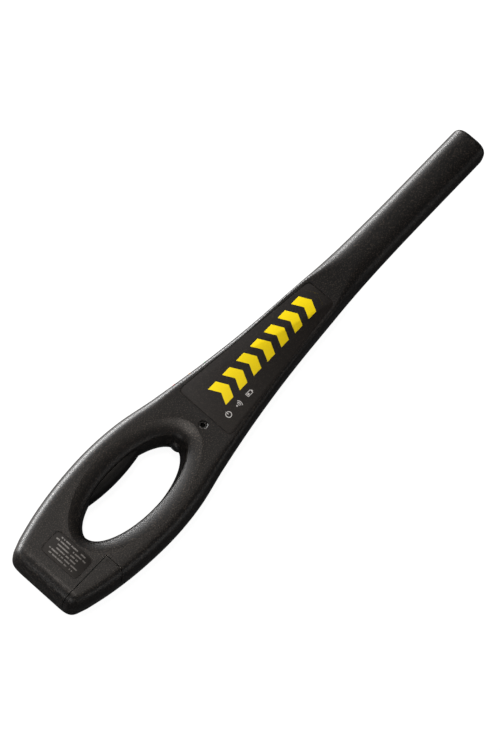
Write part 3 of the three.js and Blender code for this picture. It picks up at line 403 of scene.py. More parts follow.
def hand_hole(name, grow, sides, overshoot=3.0):
    """The space of the hand hole through both halves."""
    lip_rise = MID - HOLE_WALL_HEIGHT
    lip_turns = [k / LIP_STEPS * (math.pi / 2) for k in range(1, LIP_STEPS + 1)]
    heights = [0.0, 0.45, 4.0, 8.0, HOLE_WALL_HEIGHT]
    heights += [HOLE_WALL_HEIGHT + lip_rise * math.sin(turn) for turn in lip_turns]
    sizes = [(h, *hole_opening(h)) for h in heights]
    sizes.append((MID + overshoot, *hole_opening(MID)))
    levels = [(-h, *opening) for h, *opening in reversed(sizes[1:])] + sizes
    rings = []
    for h, tip, butt, side in levels:
        ring = []
        for turn in [k / sides * math.tau for k in range(sides)]:
            along = math.cos(turn)
            reach = HOLE_HALF_LENGTH + (tip if along > 0 else butt) + grow
            half_width = HOLE_HALF_WIDTH + side + grow
            ring.append((HOLE + reach * along, half_width * math.sin(turn), MID + h))
        rings.append(ring)
    return loft(name, rings)


# %% [markdown]
# ## Places of the small features
# Recesses, bores and screws sit where the frame has them. Reading the boxes of the frame's own
# pieces keeps the dressed model and the working model in step.

# %% Places from the frame


def box_mm(node):
    low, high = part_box(node)
    return [v / MM for v in low], [v / MM for v in high]


def centre_mm(node):
    low, high = box_mm(node)
    return [(a + b) / 2 for a, b in zip(low, high)]


SCREWS = sorted(name for name in frame["nodes"] if name.startswith("case_screw"))
LAMPS = ["red", "amber", "green"]
screw_places = {name: centre_mm(name) for name in SCREWS}
jack_place = centre_mm("jack_socket")
button_place = centre_mm("trigger_button")
print("screws", len(SCREWS), "jack", [round(v, 1) for v in jack_place])

# %% [markdown]
# ## Outlines of the label, the plate and the door
# The neck's label tapers with the case. The rating plate is a rounded rectangle. The battery door
# is the corner of the front half: a straight edge along the wand, a straight edge across it, and a
# rounded corner that curls back down to the parting line.

# %% Outlines
DOOR_EDGE = -20.0
DOOR_END = BUTT + 42.7
DOOR_CORNER = 8.0
DOOR_SHOULDER = -31.0


def label_outline(grow):
    x0, x1 = BUTT + LABEL_START - grow, BUTT + NECK_END + grow
    rear, tip, r = 24.0 + grow, 12.3 + grow, 3.0 + grow
    return (
        arc(x1 - r, tip - r, r, 0, 84, 6) + arc(x0 + r, rear - r, r, 96, 180, 6)
        + arc(x0 + r, -rear + r, r, 180, 264, 6) + arc(x1 - r, -tip + r, r, 276, 360, 6)
    )


def plate_outline(grow):
    x0 = BUTT + 15.5 - grow
    return rounded_outline(x0, x0 + 18.5 + 2 * grow, -15.95 - grow, 15.95 + grow, 3 + grow)


def door_outline(grow):
    x1, y0, r = DOOR_END + grow, DOOR_EDGE + grow, DOOR_CORNER + grow
    return (
        [(BUTT - 10, y0), (BUTT - 10, -90), (x1 - 16, -90), (x1 - r * 0.9, DOOR_SHOULDER - 10.4)]
        + arc(x1 - r, DOOR_SHOULDER, r, -36, 0, 8)
        + arc(x1 - 0.8, y0 - 0.8, 0.8, 0, 90, 4)
    )


# %% [markdown]
# ## Cutting the halves
# A boolean chain repeats what a mould does: the hollow, the wall round the hand hole, the hole
# itself, and then every pocket and bore. Doing it on closed bodies keeps each half one closed
# piece, so its wall has a real thickness at every opening.

# %% The hollow case
hole_through = hand_hole("hole_through", 0.0, 144)


def hollow_half(name, sign):
    half = half_body(name, 0.0, sign, CORNER_STEPS, 120, SEAM / 2)
    inside = half_body("inside", WALL, sign, 6, 48, -1.0)
    combine(inside, hand_hole("hole_wall", WALL, 64))
    combine(half, inside)
    combine(half, hole_through, keep=True)
    return half


front = hollow_half("case_front", 1)
back = hollow_half("case_back", -1)
print(count(front), count(back))

# %% [markdown]
# ## Bosses for the screws
# Six self-tapping screws come up from the back, through a boss in the back half and into a pilot
# bore in the front half. Their heads sit down in counterbores.

# %% Bosses and bores
SCREW_SEAT = 4.0
SCREW_BORE_RADIUS = 1.55
SCREW_HEAD_BORE_RADIUS = 3.1
PILOT_TOP = 23.0
FRONT_BOSS_RADIUS = 3.4
BACK_BOSS_RADIUS = 5.0


def upright_bar(name, x, y, low, high, radius, end_radius=None):
    """A round bar that stands on the spot (x, y), between two heights in millimetres."""
    return round_bar(name, (x, y, low), (x, y, high), radius, end_radius)


for name, (x, y, _) in screw_places.items():
    rise = rise_of(x)
    low, high = MID + SEAM / 2, MID + rise - WALL + 0.5
    combine(front, upright_bar("boss", x, y, low, high, FRONT_BOSS_RADIUS), how="UNION")
    combine(front, upright_bar("pilot", x, y, MID - 1, PILOT_TOP, SCREW_BORE_RADIUS))
    low, high = MID - rise + WALL - 0.5, MID - SEAM / 2
    combine(back, upright_bar("boss", x, y, low, high, BACK_BOSS_RADIUS), how="UNION")
    combine(back, upright_bar("shank_bore", x, y, -1, MID + 1, SCREW_BORE_RADIUS))
    combine(back, upright_bar("counterbore", x, y, -1, SCREW_SEAT, SCREW_HEAD_BORE_RADIUS))
    low, high = MID - rise - 0.4, MID - rise + 0.3
    combine(back, upright_bar("mouth", x, y, low, high, 3.8, SCREW_HEAD_BORE_RADIUS))

# %% [markdown]
# ## The battery's bay
# The battery stands on edge along the side wall, turned to follow it. The bay is the battery's own
# body, copied from the frame and grown a little, so it fits wherever the battery is.

# %% The battery bay


def grown_copy(node, by):
    """The tight skin round a frame piece, pushed out from its middle."""
    bm = bmesh.new()
    for v in frame["nodes"][node].data.vertices:
        bm.verts.new(v.co)
    bmesh.ops.remove_doubles(bm, verts=bm.verts, dist=1e-6)
    hull = bmesh.ops.convex_hull(bm, input=bm.verts)
    inner = [g for g in hull["geom_interior"] if isinstance(g, bmesh.types.BMVert)]
    bmesh.ops.delete(bm, geom=inner, context="VERTS")
    bmesh.ops.dissolve_limit(bm, angle_limit=math.radians(1), verts=bm.verts, edges=bm.edges)
    bmesh.ops.recalc_face_normals(bm, faces=bm.faces)
    bm.normal_update()
    middle = sum((v.co for v in bm.verts), Vector()) / len(bm.verts)
    for v in bm.verts:
        v.co += (v.co - middle).normalized() * by * MM
    return finished(node + "_room", bm)


bay = grown_copy("battery_9v", 0.4)
combine(front, bay, keep=True)
combine(back, bay)

# %% [markdown]
# ## Openings that both halves share
# The push button comes through the end wall of the hand hole, on the parting line, so each half
# has half of its bore. The lenses look out through the long side wall.

# %% Shared bores
button_low, button_high = box_mm("trigger_button")
BUTTON_RADIUS = 5.0
BUTTON_PLAY = 0.3
LENS_BORE_RADIUS = 2.05
JACK_BORE_RADIUS = 3.05
JACK_MOUTH_RADIUS = 3.85
bore_start = (button_low[0] - 4, button_place[1], MID)
bore_end = (button_low[0] + 12, button_place[1], MID)
for half in (front, back):
    combine(half, round_bar("button_bore", bore_start, bore_end, BUTTON_RADIUS + BUTTON_PLAY))
lens_spots = {}
for lamp in LAMPS:
    low, high = box_mm("lens_" + lamp)
    x, z = (low[0] + high[0]) / 2, (low[2] + high[2]) / 2
    lens_spots[lamp] = (x, low[1], high[1], z)
    start, end = (x, high[1] - 8, z), (x, high[1] + 4, z)
    combine(front, round_bar("lens_bore", start, end, LENS_BORE_RADIUS))
x, y, _ = jack_place
combine(front, upright_bar("jack_bore", x, y, MID + 4, THICKNESS + 1, JACK_BORE_RADIUS))
low, high = THICKNESS - 0.5, THICKNESS + 0.3
combine(front, upright_bar("jack_mouth", x, y, low, high, JACK_BORE_RADIUS, JACK_MOUTH_RADIUS))
print(count(front))

# %% [markdown]
# ## The battery door
# The door is cut from the front half by its outline, so its outer face carries the case's curve
# on without a step. A round notch by its corner gives a thumb something to push. A tongue along
# the flat part of its edge hooks under the front half, and closes the seam to the eye from above.

# %% The battery door
DOOR_SEAM = 0.5
door = copy_of(front, "door")
combine(door, slab("door_region", door_outline(0.0), MID - 1, THICKNESS + 2), how="INTERSECT")
combine(front, slab("door_gap", door_outline(DOOR_SEAM), MID - 1, THICKNESS + 2))
TONGUE_REACH = 3.0
TONGUE_THICKNESS = 0.8
TONGUE_START = -30.5
TONGUE_END = DOOR_EDGE - 0.3
NOTCH_RADIUS = 1.6
tongue_top = THICKNESS - WALL - 0.1
tongue_corner = (DOOR_END - 4, TONGUE_START, tongue_top - TONGUE_THICKNESS)
tongue = block("tongue", tongue_corner, (DOOR_END + TONGUE_REACH, TONGUE_END, tongue_top))
root = block("tongue_root", tongue_corner, (DOOR_END - 0.5, TONGUE_END, tongue_top + 0.6))
combine(door, tongue, root, how="UNION")
x, y = DOOR_END - 2.6, DOOR_EDGE - 3.5
combine(door, upright_bar("notch", x, y, THICKNESS - 0.5, THICKNESS + 1, NOTCH_RADIUS))
print(count(door))

# %% [markdown]
# ## Pockets for the labels
# Both labels lie in shallow pockets with upright walls, so their edges can't be picked off.

# %% Label pockets
POCKET = 0.6
FILM_GAP = 0.5
combine(front, slab("label_pocket", label_outline(FILM_GAP), THICKNESS - POCKET, THICKNESS + 1))
combine(front, slab("plate_pocket", plate_outline(FILM_GAP), THICKNESS - POCKET, THICKNESS + 1))

# %% [markdown]
# ## The speaker's slots
# Five slots through the back, the longest in the middle, let the alert out.

# %% Speaker slots
SLOT_PITCH = 4
SLOT_HALF_WIDTH = 0.9
SLOT_REACH = 7
speaker_x = centre_mm("speaker")[0]
for k in range(-2, 3):
    x, reach = speaker_x + SLOT_PITCH * k, SLOT_REACH - abs(k)
    outline = rounded_outline(x - SLOT_HALF_WIDTH, x + SLOT_HALF_WIDTH, -reach, reach, 0.85)
    combine(back, slab("slot", outline, -1, WALL + 0.5))
bpy.data.objects.remove(hole_through, do_unlink=True)

# %% [markdown]
# ## Smooth shading without soft edges
# A moulded case is smooth over its curves and crisp at its cuts. Marking edges sharp by their
# angle and weighting the normals by face size gives both, and the wide flat faces stay flat.

# %% Shading


def shade(piece, angle=32.0, weighted=True):
    piece.data.shade_smooth()
    piece.data.set_sharp_from_angle(angle=math.radians(angle))
    if weighted:
        step = piece.modifiers.new("even_normals", "WEIGHTED_NORMAL")
        step.keep_sharp = True
        step.weight = 80
        settle(piece)
    return piece


def mount(piece, body, *nodes, slot=None):
    """Rides a piece on a body, in place of the frame's own pieces."""
    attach(piece, body)
    if nodes:
        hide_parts(*nodes)
    return piece


mount(shade(front), "wand_case", "front_shell", slot="case")
mount(shade(back), "wand_case", "back_shell", slot="case")
mount(shade(door), "battery_door", "battery_door", slot="case")
print(count(front), count(back), count(door))

# %% [markdown]
# ## The labels
# Each label is a thin film with a slightly rounded edge. The bevel operator rounds only the edges
# round its top.

# %% Label films


def film(name, outline, low, high, edge):
    piece = slab(name, outline, low, high)
    bm = bmesh.new()
    bm.from_mesh(piece.data)
    top = [e for e in bm.edges if all(v.co.z > (high - 0.01) * MM for v in e.verts)]
    bmesh.ops.bevel(
        bm, geom=top, offset=edge * MM, offset_type="OFFSET", affect="EDGES",
        segments=3, profile=0.5, material=-1,
    )
    bm.to_mesh(piece.data)
    bm.free()
    return shade(piece, weighted=False)


FILM_EDGE = 0.12
film_low, film_high = box_mm("front_label")
neck_label = film("neck_label", label_outline(0.0), film_low[2], film_high[2], FILM_EDGE)
mount(neck_label, "wand_case", "front_label", slot="label_film")
rating_plate = film("rating_plate", plate_outline(0.0), film_low[2], film_high[2], FILM_EDGE)
mount(rating_plate, "wand_case", "rating_label", slot="label_film")

# %% [markdown]
# ## The finger pad
# The pad swells out of the long wall of the hand hole, shallow along its length and crowned in its
# height, so that a finger meets no edge. It is lofted from crowned sections, and what would lie
# inside the wall is cut away by the hole's own form.

# %% The finger pad
PAD_REACH = 5.7
PAD_BOW = 2.4
PAD_HALF_LENGTH = 26.5
PAD_HALF_HEIGHT = 10.0
PAD_CROWN_POWER = 2.6


def pad_ring(x):
    """A crowned section of the pad at x, closed behind it inside the wall."""
    share = (x - HOLE) / PAD_HALF_LENGTH
    face = HOLE_HALF_WIDTH - PAD_REACH + PAD_BOW * share * share
    deepest = HOLE_HALF_WIDTH + PAD_REACH
    ring = []
    for k in range(-16, 17):
        t = k / 16 * math.pi / 2
        fall = 1 - math.cos(t) ** (2 / PAD_CROWN_POWER)
        z = MID + PAD_HALF_HEIGHT * math.copysign(abs(math.sin(t)) ** (2 / PAD_CROWN_POWER), t)
        ring.append((x, face + (PAD_REACH + 1.5) * fall, z))
    return ring + [(x, deepest, MID + PAD_HALF_HEIGHT), (x, deepest, MID - PAD_HALF_HEIGHT)]


pad_places = [HOLE + PAD_HALF_LENGTH * k / 40 for k in range(-40, 41)]
pad = loft("finger_pad", [pad_ring(x) for x in pad_places])
combine(pad, hand_hole("pad_seat", -0.05, 144), how="INTERSECT")
mount(shade(pad), "wand_case", "finger_grip_pad", slot="rubber")
print(count(pad))

# %% [markdown]
# ## The push button
# The button is spun from its profile: a domed face with a rounded rim, the barrel that slides in
# the wall, a flange that stops it and the stem that meets the switch.

# %% The push button
BUTTON_FLANGE_RADIUS = 6.4
BUTTON_STEM_RADIUS = 1.5
BUTTON_DOME = 1.8
bx0, button_length = button_low[0], button_high[0] - button_low[0]
end_wall = HOLE + HOLE_HALF_LENGTH + hole_opening(BUTTON_FLANGE_RADIUS)[0] + WALL
BUTTON_FLANGE_AT = end_wall + SEAM - bx0
dome = [k / 14 * math.pi / 2 for k in range(1, 15)]
button_profile = [(0, 0)]
button_profile += [(BUTTON_RADIUS * math.sin(t), BUTTON_DOME * (1 - math.cos(t))) for t in dome]
button_profile += [
    (BUTTON_RADIUS, BUTTON_FLANGE_AT), (BUTTON_FLANGE_RADIUS, BUTTON_FLANGE_AT),
    (BUTTON_FLANGE_RADIUS, BUTTON_FLANGE_AT + 1), (BUTTON_STEM_RADIUS, BUTTON_FLANGE_AT + 1),
    (BUTTON_STEM_RADIUS, button_length), (0, button_length),
]
button = turned("push_button", button_profile, (bx0, button_place[1], MID), (1, 0, 0))
mount(shade(button), "trigger_button", "trigger_button", slot="rubber")

# %% [markdown]
# ## The jack and the lenses
# The jack's nose stands a little below the face, with a rounded lip and a deep bore. Each lens is a
# light pipe with a flange behind the wall and a low dome outside it.

# %% The jack and the lenses
JACK_BODY_RADIUS = 3.6
JACK_NOSE_RADIUS = 2.7
JACK_HOLE_RADIUS = 1.8
JACK_FLOOR = 2.0
LENS_FLANGE_RADIUS = 2.7
LENS_FLANGE = 1.0
LENS_RADIUS = 1.8
LENS_DOME = 0.55
jack_low, jack_high = box_mm("jack_socket")
shoulder = THICKNESS - WALL - 0.1 - jack_low[2]
nose = jack_high[2] - jack_low[2]
jack_profile = [
    (0, 0), (JACK_BODY_RADIUS, 0), (JACK_BODY_RADIUS, shoulder), (JACK_NOSE_RADIUS, shoulder),
    (JACK_NOSE_RADIUS, nose - 0.25), (2.62, nose - 0.07), (2.45, nose),
    (2.0, nose), (1.86, nose - 0.07), (JACK_HOLE_RADIUS, nose - 0.25),
    (JACK_HOLE_RADIUS, JACK_FLOOR), (0, JACK_FLOOR),
]
jack = turned("jack", jack_profile, (jack_place[0], jack_place[1], jack_low[2]), (0, 0, 1))
mount(shade(jack), "wand_case", "jack_socket", slot="chip")

for lamp, (x, y0, y1, z) in lens_spots.items():
    reach = y1 - y0
    rim = reach - LENS_DOME
    profile = [
        (0, 0), (LENS_FLANGE_RADIUS, 0), (LENS_FLANGE_RADIUS, LENS_FLANGE),
        (LENS_RADIUS, LENS_FLANGE), (LENS_RADIUS, rim),
    ]
    for turn in [k / 8 * math.pi / 2 for k in range(1, 8)]:
        profile.append((LENS_RADIUS * math.cos(turn), rim + LENS_DOME * math.sin(turn)))
    profile.append((0, reach))
    piece = turned("lens_" + lamp + "_clear", profile, (x, y0, z), (0, 1, 0), sides=40)
    mount(shade(piece), "wand_case", "lens_" + lamp, slot="lens_" + lamp)

# %% [markdown]
# ## The case screws
# A pan head with a cross recess is spun and then cut. The thread is a row of fine cones on the
# shank, which is how a self-tapping screw catches the light.

# %% The case screws
HEAD_HEIGHT = 2.0
HEAD_PROFILE = [(0, 0), (2.0, 0), (2.45, 0.18), (2.72, 0.5), (2.8, 0.9), (2.8, HEAD_HEIGHT)]
THREAD_TURNS = 12
THREAD_ROOT = 1.05
THREAD_CREST = 1.25
CROSS_REACH = 1.6
CROSS_HALF_WIDTH = 0.4
CROSS_DEPTH = 1.1


def case_screw(name, x, y, low, high):
    """A screw with its head at the low end and its point at the high end."""
    length = high - low
    profile = HEAD_PROFILE + [(THREAD_ROOT, HEAD_HEIGHT)]
    pitch = (length - 4.0) / THREAD_TURNS
    start = HEAD_HEIGHT + 0.2
    for k in range(THREAD_TURNS):
        profile += [(THREAD_ROOT, start + k * pitch), (THREAD_CREST, start + (k + 0.5) * pitch)]
    profile += [(1.0, length - 1.6), (0, length)]
    screw = turned(name, profile, (x, y, low), (0, 0, 1), sides=32)
    for a, b in ((CROSS_REACH, CROSS_HALF_WIDTH), (CROSS_HALF_WIDTH, CROSS_REACH)):
        combine(screw, block("cross", (x - a, y - b, low - 1), (x + a, y + b, low + CROSS_DEPTH)))
    return shade(screw, weighted=False)


for name, (x, y, _) in screw_places.items():
    low, high = box_mm(name)
    mount(case_screw(name + "_cut", x, y, low[2], high[2]), "wand_case", name, slot="steel")

# %% [markdown]
# ## Writing a finish as sums
# A procedural finish is a sum of patterns. This small class wraps a node's socket and lets Python's
# own signs add the Math nodes, so that a mask reads like the sentence that describes it.

# %% A socket that can be used in sums


class Link:
    """One output socket of a finish, which can be used in sums."""

    def __init__(self, tree, socket=None):
        self.tree = tree
        self.socket = socket

    def node(self, kind, settings=None, inputs=None, output=0):
        """Adds a node: its settings first, then the values or links of its sockets."""
        new = self.tree.nodes.new(kind)
        for key, value in (settings or {}).items():
            setattr(new, key, value)
        for key, value in (inputs or {}).items():
            if isinstance(value, Link):
                self.tree.links.new(value.socket, new.inputs[key])
            else:
                new.inputs[key].default_value = value
        return Link(self.tree, new.outputs[output])

    def sum(self, operation, *values):
        return self.node("ShaderNodeMath", {"operation": operation}, dict(enumerate(values)))

    def __add__(self, other):
        return self.sum("ADD", self, other)

    def __sub__(self, other):
        return self.sum("SUBTRACT", self, other)

    def __rsub__(self, other):
        return self.sum("SUBTRACT", other, self)

    def __mul__(self, other):
        return self.sum("MULTIPLY", self, other)

    def __truediv__(self, other):
        return self.sum("DIVIDE", self, other)

    def __pow__(self, other):
        return self.sum("POWER", self, other)

    def __abs__(self):
        return self.sum("ABSOLUTE", self)

    __radd__ = __add__
    __rmul__ = __mul__


# %% [markdown]
# ## Patterns that the finishes share
# All patterns read the Object coordinates, which are metres here because every piece sits at the
# origin. A grain's size is then simply one over its size in metres.

# %% Shared patterns


def noise(place, size, detail=2.0, roughness=0.5):
    """Soft random spots of about the given size in millimetres."""
    return place.node("ShaderNodeTexNoise", None, {
        "Vector": place, "Scale": 1 / (size * MM), "Detail": detail, "Roughness": roughness,
    })


def cells(place, size, output="Distance"):
    """Rounded cells of about the given size in millimetres."""
    return place.node("ShaderNodeTexVoronoi", None, {"Vector": place, "Scale": 1 / (size * MM)}, output)


def stretched(place, x, y, z):
    """The same place with each axis scaled, so that a pattern is drawn out."""
    return place.node("ShaderNodeMapping", None, {"Vector": place, "Scale": (x, y, z)})


def axis_of(place, axis):
    """One coordinate in millimetres."""
    return place.node("ShaderNodeSeparateXYZ", None, {"Vector": place}, axis) * 1000.0


def between(value, low, high):
    """Goes smoothly from 0 at low to 1 at high."""
    return value.node("ShaderNodeMapRange", {"interpolation_type": "SMOOTHSTEP"}, {
        "Value": value, "From Min": low, "From Max": high,
    })


def blend(mask, first, second):
    """A colour that goes from first to second as the mask goes from 0 to 1."""
    ends = {0: mask, 6: first, 7: second}
    ends = {k: (*v, 1.0) if isinstance(v, tuple) else v for k, v in ends.items()}
    return mask.node("ShaderNodeMix", {"data_type": "RGBA"}, ends, 2)


def bump(height, depth, strength=1.0):
    """A normal from a height pattern, with its full depth in millimetres."""
    return height.node("ShaderNodeBump", None, {
        "Height": height, "Distance": depth * MM, "Strength": strength,
    })


def finish(name, recipe, fixed=None):
    """A material whose varying sockets come from the recipe and whose other sockets are fixed."""
    material = bpy.data.materials.new(name)
    material.use_nodes = True
    tree = material.node_tree
    shader = tree.nodes["Principled BSDF"]
    place = Link(tree).node("ShaderNodeTexCoord", output="Object")
    for key, value in {**(fixed or {}), **recipe(place)}.items():
        if isinstance(value, Link):
            tree.links.new(value.socket, shader.inputs[key])
        else:
            shader.inputs[key].default_value = (*value, 1.0) if isinstance(value, tuple) else value
    return material


# %% [markdown]
# ## Moulded black plastic
# The case is black ABS from a spark-eroded mould, which leaves a grain of about one millimetre.
# The crowns of the grain are a little smoother than its pits, and they are painted paler and warmer: a
# painted sparkle, as if each crown caught a warm lamp. A ring round the crown of the hand hole's lip is
# painted paler still, a painted highlight, and it is smoother there, as from the polish of hands.
# Knocks scuff the two ends, so the grain is weaker and paler there.

# %% The case's finish
GRAIN = 0.85
FINE_GRAIN = 0.4
LIP_CROWN_END = 15.0
LIP_CROWN_SIDE = 13.0


def lip_sheen_and_wear_mask(place):
    """A mask for the crown of the hand hole's lip: a ring painted paler as a highlight, and made
    smoother as from hands.
    """
    x = (axis_of(place, "X") - HOLE) / (HOLE_HALF_LENGTH + LIP_CROWN_END)
    y = axis_of(place, "Y") / (HOLE_HALF_WIDTH + LIP_CROWN_SIDE)
    around = (x**2 + y**2) ** 0.5
    return 1 - between(abs(around - 1.0), 0.02, 0.16)


def moulded(place):
    grain = noise(place, GRAIN, 2.0, 0.55)
    fine = noise(place, FINE_GRAIN, 2.0)
    cloud = noise(place, 55.0, 3.0)
    # The grain crowns are painted paler below, as a painted sparkle, and they are also made smoother.
    grain_crown_sheen = between(grain, 0.53, 0.66)
    # The lip's ring is a painted highlight in the colour, and hand polish in the roughness.
    lip_sheen_and_wear = lip_sheen_and_wear_mask(place)
    ends = between(abs(axis_of(place, "X")), TIP - 14, TIP - 2)
    scuff = ends * between(noise(stretched(place, 1.0, 1.0, 2.5), 4.0, 3.0), 0.52, 0.64)
    shade_of_black = blend(cloud, (0.0012, 0.0011, 0.0011), (0.0028, 0.0025, 0.0023))
    # Painted highlight: the crowns, and the lip's ring more so, are painted a paler warm brown.
    colour = blend(grain_crown_sheen * (0.70 + 0.30 * lip_sheen_and_wear), shade_of_black, (0.042, 0.034, 0.028))
    colour = blend(scuff * 0.35, colour, (0.035, 0.033, 0.031))
    height = grain * 0.75 + fine * 0.25
    return {
        "Base Color": colour,
        "Roughness": 0.42 + 0.12 * cloud - 0.10 * grain_crown_sheen - 0.08 * lip_sheen_and_wear - 0.05 * scuff,
        "Normal": bump(height, 0.18, 0.75),
    }


case_black = finish("moulded_black", moulded, {"Specular IOR Level": 0.24})

# %% [markdown]
# ## The printed label
# The label is a fine grained film. Its print is a row of bold chevrons that point to the sensing
# end, and three small signs: power, sound and battery. Each mark is a mask made from distances,
# as a drawing program would, so its edge stays sharp at any size. The ink stands slightly proud.

# %% Marks on the label
CHEVRONS = 7
CHEVRON_PITCH = 15.0
CHEVRON_STROKE = 8.2
CHEVRON_SLANT = 0.55
CHEVRON_HALF_HEIGHT = 8.3
CHEVRON_START = -49.0
PRINT_MIDDLE = 1.5
SIGN_MIDDLE = -13.0
EDGE = 0.07


def inside(distance):
    """1 where a distance is below zero, with a short soft edge."""
    return 1 - between(distance, -EDGE, EDGE)


def chevrons(x, y):
    off = abs(y - PRINT_MIDDLE)
    along = x + off * CHEVRON_SLANT - CHEVRON_START
    step = along.sum("FLOORED_MODULO", along, CHEVRON_PITCH)
    stroke = inside(abs(step - CHEVRON_STROKE / 2) - CHEVRON_STROKE / 2)
    row = inside(0.0 - along) * inside(along - CHEVRONS * CHEVRON_PITCH)
    return stroke * row * inside(off - CHEVRON_HALF_HEIGHT)


def from_point(x, y, cx, cy):
    return ((x - cx) ** 2 + (y - cy) ** 2) ** 0.5


def bar(x, y, cx, cy, half_x, half_y):
    return inside(abs(x - cx) - half_x) * inside(abs(y - cy) - half_y)


def power_sign(x, y, cx, cy):
    ring = inside(abs(from_point(x, y, cx, cy) - 2.1) - 0.28)
    gap = bar(x, y, cx, cy + 2.1, 0.75, 1.2)
    return ring * (1 - gap) + bar(x, y, cx, cy + 1.5, 0.28, 1.3)


def sound_sign(x, y, cx, cy):
    reach = from_point(x, y, cx - 1.6, cy)
    arcs = sum(inside(abs(reach - radius) - 0.25) for radius in (1.6, 2.8, 4.0))
    fan = inside(abs(y - cy) - (x - cx + 1.6) * 0.8)
    return arcs * fan + inside(reach - 0.65)


def battery_sign(x, y, cx, cy):
    frame_of_sign = bar(x, y, cx, cy, 2.6, 1.5) * (1 - bar(x, y, cx, cy, 2.15, 1.05))
    return frame_of_sign + bar(x, y, cx + 2.95, cy, 0.35, 0.6) + bar(x, y, cx - 0.9, cy, 0.8, 0.65)


def printed_film(place):
    x, y = axis_of(place, "X"), axis_of(place, "Y")
    yellow = chevrons(x, y)
    pale = power_sign(x, y, -57.5, SIGN_MIDDLE) + sound_sign(x, y, -47.0, SIGN_MIDDLE)
    pale = pale + battery_sign(x, y, -35.5, SIGN_MIDDLE)
    grain = noise(place, 0.7, 2.0)
    cloud = noise(place, 30.0, 3.0)
    film_black = blend(cloud, (0.0055, 0.0046, 0.0042), (0.0085, 0.0070, 0.0062))
    film_black = blend(between(grain, 0.5, 0.7) * 0.45, film_black, (0.030, 0.024, 0.020))
    ink = blend(grain, (0.60, 0.455, 0.001), (0.68, 0.52, 0.002))
    colour = blend(yellow, film_black, ink)
    colour = blend(pale, colour, (0.46, 0.455, 0.45))
    printed = yellow.sum("MAXIMUM", yellow, pale)
    return {
        "Base Color": colour,
        "Roughness": 0.46 + 0.12 * cloud - 0.06 * printed,
        "Normal": bump(grain * (1 - printed * 0.7) + printed * 1.2, 0.05, 0.6),
    }


label_black = finish("printed_film", printed_film, {"Specular IOR Level": 0.15})

# %% [markdown]
# ## The rating plate
# A real plate carries rows of small print. Here each row is a line of plain dashes of random
# length, so the plate looks busy from afar and says nothing from close by.

# %% Dashes on the rating plate
ROWS = 6
ROW_PITCH = 2.65
ROW_START = BUTT + 15.5 + 1.5
ROW_HALF_LENGTH = 13.2
DASH_STEP = 0.95


def plate_film(place):
    x, y = axis_of(place, "X") - ROW_START, axis_of(place, "Y")
    row = (x / ROW_PITCH).sum("FLOOR", x / ROW_PITCH)
    in_row = x - (row + 0.5) * ROW_PITCH
    cell = (y / DASH_STEP).sum("FLOOR", y / DASH_STEP)
    spot = place.node("ShaderNodeCombineXYZ", None, {"X": row, "Y": cell})
    chance = place.node("ShaderNodeTexWhiteNoise", {"noise_dimensions": "3D"}, {"Vector": spot})
    line = place.node("ShaderNodeTexWhiteNoise", {"noise_dimensions": "1D"}, {"W": row})
    reach = ROW_HALF_LENGTH - 4.5 * line
    marks = inside(abs(in_row) - 0.5) * between(chance, 0.20, 0.24) * inside(abs(y) - reach)
    marks = marks * inside(0.0 - x) * inside(x - ROWS * ROW_PITCH)
    letters = between(noise(stretched(place, 0.6, 1.0, 1.0), 0.5, 2.0), 0.38, 0.52)
    grain = noise(place, 0.7)
    film_black = blend(grain, (0.0055, 0.0047, 0.0042), (0.014, 0.0118, 0.0105))
    return {
        "Base Color": blend(marks * (0.35 + 0.65 * letters), film_black, (0.16, 0.152, 0.145)),
        "Roughness": 0.45 + 0.1 * grain,
        "Normal": bump(grain + marks, 0.04, 0.5),
    }


plate_black = finish("rating_film", plate_film, {"Specular IOR Level": 0.15})

# %% [markdown]
# ## Rubber, gloss plastic and tinted lenses
# The finger pad is a soft dull rubber. The button is the same rubber, worn shiny in its middle.
# The jack is a satin black nylon. The lenses are tinted clear plastic, deeper in colour towards their
# foot, under a polished skin, and each gives off a faint painted glow that stands in for a glint.

# %% Rubber, black plastic and lenses


def soft_rubber(place):
    grain = noise(place, 0.5, 3.0)
    cloud = noise(place, 14.0, 2.0)
    return {
        "Base Color": blend(cloud, (0.0035, 0.0034, 0.0033), (0.0080, 0.0077, 0.0075)),
        "Roughness": 0.52 + 0.16 * grain - 0.10 * cloud,
        "Normal": bump(grain, 0.05, 0.5),
    }


def pressed_rubber(place):
    y, z = axis_of(place, "Y") - button_place[1], axis_of(place, "Z") - MID
    middle = 1 - between((y * y + z * z) ** 0.5, 0.5, 4.4)
    grain = noise(place, 0.45, 3.0)
    return {
        "Base Color": blend(grain, (0.004, 0.004, 0.004), (0.010, 0.010, 0.010)),
        "Roughness": 0.42 - 0.14 * middle + 0.10 * grain,
        "Normal": bump(grain, 0.03, 0.4),
    }


def satin_black(place):
    grain = noise(place, 0.3, 2.0)
    return {
        "Base Color": blend(grain, (0.003, 0.003, 0.003), (0.009, 0.009, 0.009)),
        "Roughness": 0.34 + 0.14 * grain,
        "Normal": bump(grain, 0.02, 0.5),
    }


LENS_FOOT = 20


def tinted(deep, bright):
    def recipe(place):
        y = axis_of(place, "Y")
        tint_and_glow = between(noise(place, 1.6, 2.0) + (y - LENS_FOOT) * 0.03, 0.3, 1.1)
        return {
            "Base Color": blend(tint_and_glow, deep, bright),
            "Roughness": 0.10 + 0.08 * noise(place, 0.5),
            # The emission is a painted glow, which stands in for a glint on the lens.
            "Emission Color": blend(tint_and_glow, (0.0, 0.0, 0.0), bright),
        }

    return recipe


rubber = finish("soft_rubber", soft_rubber, {"Specular IOR Level": 0.15})
button_rubber = finish("pressed_rubber", pressed_rubber, {"Specular IOR Level": 0.3})
black_nylon = finish("satin_black", satin_black)
